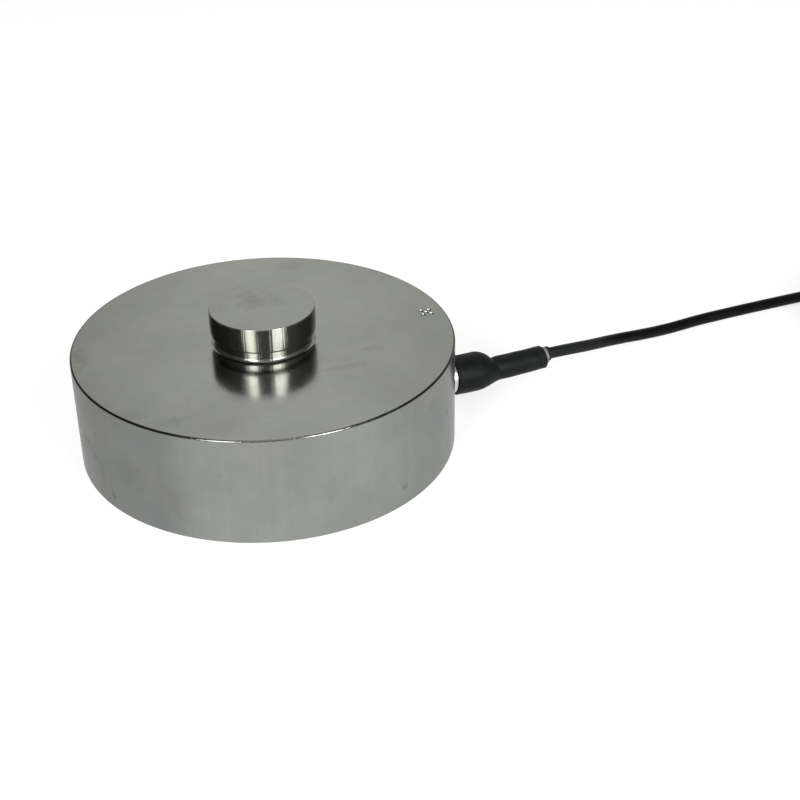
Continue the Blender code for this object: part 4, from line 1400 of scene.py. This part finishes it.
def rolled_steel(name, cool, warm, roughness):
    """Cold-rolled sheet: long faint rolling lines and a cloudy grey."""
    finish = start_finish(name, cool, roughness, metallic=1.0)
    give(finish, "Base Color", clouded(finish, 14.0 * MM, cool, warm))
    lines = blotches(finish, 0.35 * MM, stretch=(60.0, 1.0, 1.0))
    uneven_gloss(finish, lines, roughness - 0.06, roughness + 0.08)
    emboss(finish, lines, 0.004 * MM)
    return finish


cover_steel = rolled_steel("cover_steel", (0.36, 0.365, 0.36), (0.45, 0.445, 0.42), 0.34)
weld_steel = turned_steel("weld_steel", (0.22, 0.20, 0.17), (0.42, 0.40, 0.36), 0.36)
weld = weld_bead("cover_weld", weld_steel)
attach(weld, "root")
print("weld scales:", WELD_SCALES)

# %% [markdown]
# Nobody sees the inside in the photograph, but the solids are there, so each
# gets its own finish: foil gauges on amber film, a green board with a glassy
# surface, glazed resistors, enamelled wire, rubber and brass. They are kept as
# they are and only get better materials.

# %% Finishes for the parts inside
def foil_gauge(name):
    """Amber film with a shiny zigzag foil on it."""
    finish = start_finish(name, (0.60, 0.36, 0.13), 0.35)
    foil = rescale(finish, waves(finish, "Y", 0.45 * MM), 0.0, 1.0, 0.45, 0.55)
    film = mix_colours(finish, blotches(finish, 1.0 * MM), (0.55, 0.30, 0.10), (0.66, 0.40, 0.15))
    give(finish, "Base Color", mix_colours(finish, foil, film, (0.52, 0.46, 0.40)))
    give(finish, "Metallic", foil)
    emboss(finish, foil, 0.01 * MM)
    return finish


def smooth_skin(name, dark, light, roughness, grain=0.2, depth=0.003):
    """Soft plastic's finish for glass, glaze, enamel or rubber, grain in mm."""
    return soft_plastic(name, dark, light, roughness, grain * MM, depth * MM)


seal_rubber = smooth_skin("seal_rubber", (0.014, 0.014, 0.014), (0.022, 0.022, 0.021), 0.62, depth=0.01)
brass = turned_steel("ferrule_brass", (0.58, 0.40, 0.15), (0.74, 0.56, 0.25), 0.26)
board = smooth_skin("board_green", (0.020, 0.135, 0.050), (0.035, 0.19, 0.075), 0.30, 0.5, 0.004)
give(board, "Coat Weight", 0.4)
give(board, "Coat Roughness", 0.12)
glazed = smooth_skin("glazed_ceramic", (0.018, 0.018, 0.022), (0.032, 0.032, 0.038), 0.22)
gauge_foil = foil_gauge("gauge_foil")
enamel = smooth_skin("wire_enamel", (0.42, 0.13, 0.045), (0.58, 0.22, 0.085), 0.25, 0.3)

finish_of_node = {
    "bottom_cover": cover_steel,
    "seal_bush": seal_rubber,
    "crimp_ferrule": brass,
    "terminal_board": board,
}
for number in (1, 2, 3, 4):
    finish_of_node[f"strain_gauge_{number}"] = gauge_foil
    finish_of_node[f"gauge_wire_{number}"] = enamel
for number in (1, 2, 3):
    finish_of_node[f"balance_resistor_{number}"] = glazed
for name, finish in core_colours.items():
    finish_of_node["core_" + name] = finish
for node, finish in finish_of_node.items():
    for place in bpy.data.objects[node].material_slots:
        place.material = finish
print("solids with new finishes:", len(finish_of_node))

# %% [markdown]
# The floor is plain and pale. Where it is seen directly or through glass it
# also glows, so it looks white without any more light on the sensor. Steel
# doesn't mirror it at all: the side of the body would show its own foot there,
# and not the wide soft gradient of the room.

# %% Floor
FLOOR_HEIGHT = -0.1 * MM
FLOOR_RADIUS = 6.0
FLOOR_COLOUR = (0.40, 0.40, 0.40)
FLOOR_GLOW = 0.70
WHITE = (1.0, 1.0, 1.0)


def add_stage(name, shape, colour):
    """A floor or a card that belongs to the studio and not to the sensor."""
    data = bpy.data.meshes.new(name)
    shape.to_mesh(data)
    shape.free()
    piece = bpy.data.objects.new(name, data)
    scene.collection.objects.link(piece)
    finish = start_finish(name, colour, 1.0)
    give(finish, "Specular IOR Level", 0.0)
    give(finish, "Emission Color", WHITE)
    data.materials.append(finish)
    return piece, finish


floor_shape = bmesh.new()
bmesh.ops.create_circle(floor_shape, cap_ends=True, segments=96, radius=FLOOR_RADIUS)
floor, floor_white = add_stage("studio_floor", floor_shape, FLOOR_COLOUR)
floor.location.z = FLOOR_HEIGHT
floor.visible_glossy = False
kinds = add_node(floor_white, "ShaderNodeLightPath").outputs
seen = calculate(floor_white, "MAXIMUM", kinds["Is Camera Ray"], kinds["Is Glossy Ray"])
seen = calculate(floor_white, "MAXIMUM", seen, kinds["Is Transmission Ray"])
give(floor_white, "Emission Strength", calculate(floor_white, "MULTIPLY", seen, FLOOR_GLOW))
print("floor glow:", FLOOR_GLOW)

# %% [markdown]
# Bare steel has hardly a colour of its own: it shows the room. This room is a
# white studio with two soft lamps and one wide dark card. The lamps draw the
# two lines on the button, and the card makes the rest of its side nearly
# black. The card is part of a ball round the sensor, and its tone, from a
# short table of angles, is written on its corners. Only mirrors see it.

# %% Dark card behind the camera
CARD_RADIUS = 1.4
CARD_LEFT, CARD_RIGHT = -156.0, 146.0
CARD_LOW, CARD_HIGH = 1.0, 64.0
CARD_WARMTH = (1.0, 0.98, 0.93)
CAMERA_TURN = math.degrees(math.atan2(CAMERA_PLACE.y, CAMERA_PLACE.x))
CARD_TONES = (
    (-156.0, 0.90), (-147.0, 0.25), (-138.0, 0.08), (-108.0, 0.085), (-84.0, 0.11), (-60.0, 0.17),
    (-40.0, 0.20), (-5.0, 0.40), (12.0, 0.42), (48.0, 0.40), (62.0, 0.33), (84.0, 0.22), (108.0, 0.155),
    (126.0, 0.16), (134.0, 0.40), (146.0, 0.90),
)


def room_direction(turn, rise):
    """The way to a place in the room, in degrees from the camera and upwards."""
    flat = polar(math.cos(math.radians(rise)), math.radians(CAMERA_TURN + turn))
    return Vector((*flat, math.sin(math.radians(rise))))


def card_tone(turn):
    """How bright the card is at an angle from the camera, from a short table."""
    for (start, dark), (stop, light) in zip(CARD_TONES, CARD_TONES[1:]):
        if turn <= stop:
            break
    return dark + (light - dark) * ease((turn - start) / (stop - start))


def dark_card_shape():
    """A curved card on a sphere, with its tone written on each corner."""
    shape = bmesh.new()
    tone = shape.verts.layers.float_color.new("tone")
    grid = []
    for rise in spaced(CARD_LOW, CARD_HIGH, 12):
        line = []
        for turn in spaced(CARD_LEFT, CARD_RIGHT, 122):
            corner = shape.verts.new(room_direction(turn, rise) * CARD_RADIUS)
            corner[tone] = (*(card_tone(turn) * part for part in CARD_WARMTH), 1.0)
            line.append(corner)
        grid.append(line)
    for low, high in zip(grid, grid[1:]):
        for corners in zip(low, low[1:], high[1:], high):
            shape.faces.new(corners)
    return shape


card, card_dark = add_stage("dark_card", dark_card_shape(), (0.0, 0.0, 0.0))
tones = add_node(card_dark, "ShaderNodeVertexColor")
tones.layer_name = "tone"
give(card_dark, "Emission Color", tones.outputs["Color"])
give(card_dark, "Emission Strength", 1.0)
card.visible_camera = False
card.visible_diffuse = False
card.visible_shadow = False
card.visible_transmission = False
print("card spans, degrees:", CARD_RIGHT - CARD_LEFT)

# %% [markdown]
# A soft lamp's brightness in a mirror depends only on its power per area, so
# the power is worked out from the brightness that the highlights need. The
# lamps are tall ovals. The button's side is a hair crowned, so it shows their
# wide middle at one end and their narrow tip at the other.

# %% Lamps
LAMP_DISTANCE = 0.9
LAMP_BRIGHTNESS = 10.8


def add_oval_lamp(name, turn, rise, wide, tall, brightness):
    """A tall oval soft lamp aimed at the sensor."""
    data = bpy.data.lights.new(name, "AREA")
    data.shape = "ELLIPSE"
    data.size = wide
    data.size_y = tall
    data.energy = brightness * math.pi * math.pi / 4 * wide * tall
    lamp = bpy.data.objects.new(name, data)
    direction = room_direction(turn, rise)
    lamp.location = direction * LAMP_DISTANCE
    lamp.rotation_euler = (-direction).to_track_quat("-Z", "Y").to_euler()
    lamp.visible_camera = False
    scene.collection.objects.link(lamp)
    return lamp


left_lamp = add_oval_lamp("left_lamp", -29.5, 25.0, 0.31, 0.72, LAMP_BRIGHTNESS)
right_lamp = add_oval_lamp("right_lamp", 31.0, 23.5, 0.35, 0.66, LAMP_BRIGHTNESS)
print("lamp power, W:", round(left_lamp.data.energy, 2), round(right_lamp.data.energy, 2))

# %% [markdown]
# The white room isn't equally bright all round. It is a little dimmer low on
# the left and the right, and beside the bright wall behind the sensor. Mirror
# rays ask the world for its brightness in their own direction, so the steel
# gets soft gradients while everything else still sees plain even light.

# %% White surroundings
DIFFUSE_LIGHT = 0.50
world = bpy.data.worlds.new("white_studio")
world.use_nodes = True
scene.world = world
background = world.node_tree.nodes["Background"]
connect(world, WHITE, background.inputs["Color"])
room_place = add_node(world, "ShaderNodeTexCoord").outputs["Generated"]


def facing(turn, rise=0.0):
    """How far a direction of the room points along a heading, from -1 to 1."""
    node = add_node(world, "ShaderNodeVectorMath")
    node.operation = "DOT_PRODUCT"
    node.inputs[1].default_value = room_direction(turn, rise)
    connect(world, room_place, node.inputs[0])
    return node.outputs["Value"]


below = rescale(world, facing(0.0, 90.0), 1.0, 0.0, -0.15, 0.05)
dim_left = rescale(world, facing(-110.0), 1.0, 0.69, 0.40, 0.60)
dim_right = rescale(world, facing(130.0), 1.0, 0.83, 0.25, 0.75)
low_room = calculate(world, "MULTIPLY", dim_left, dim_right)
left_of_wall = rescale(world, facing(-90.0), 1.0, 0.68, 0.02, 0.14)
right_of_wall = rescale(world, facing(90.0), 1.0, 0.76, 0.02, 0.15)
high_room = calculate(world, "MULTIPLY", left_of_wall, right_of_wall)
low_share = calculate(world, "MULTIPLY", low_room, below)
high_share = calculate(world, "MULTIPLY", high_room, calculate(world, "SUBTRACT", 1.0, below))
room = calculate(world, "ADD", low_share, high_share)
rays = add_node(world, "ShaderNodeLightPath").outputs
direct = calculate(world, "MAXIMUM", rays["Is Camera Ray"], rays["Is Transmission Ray"])
mirrored = calculate(world, "MULTIPLY", room, rays["Is Glossy Ray"])
seen = calculate(world, "MAXIMUM", direct, mirrored)
spread = calculate(world, "MULTIPLY", rays["Is Diffuse Ray"], DIFFUSE_LIGHT)
connect(world, calculate(world, "MAXIMUM", seen, spread), background.inputs["Strength"])
print("light from all round:", DIFFUSE_LIGHT)
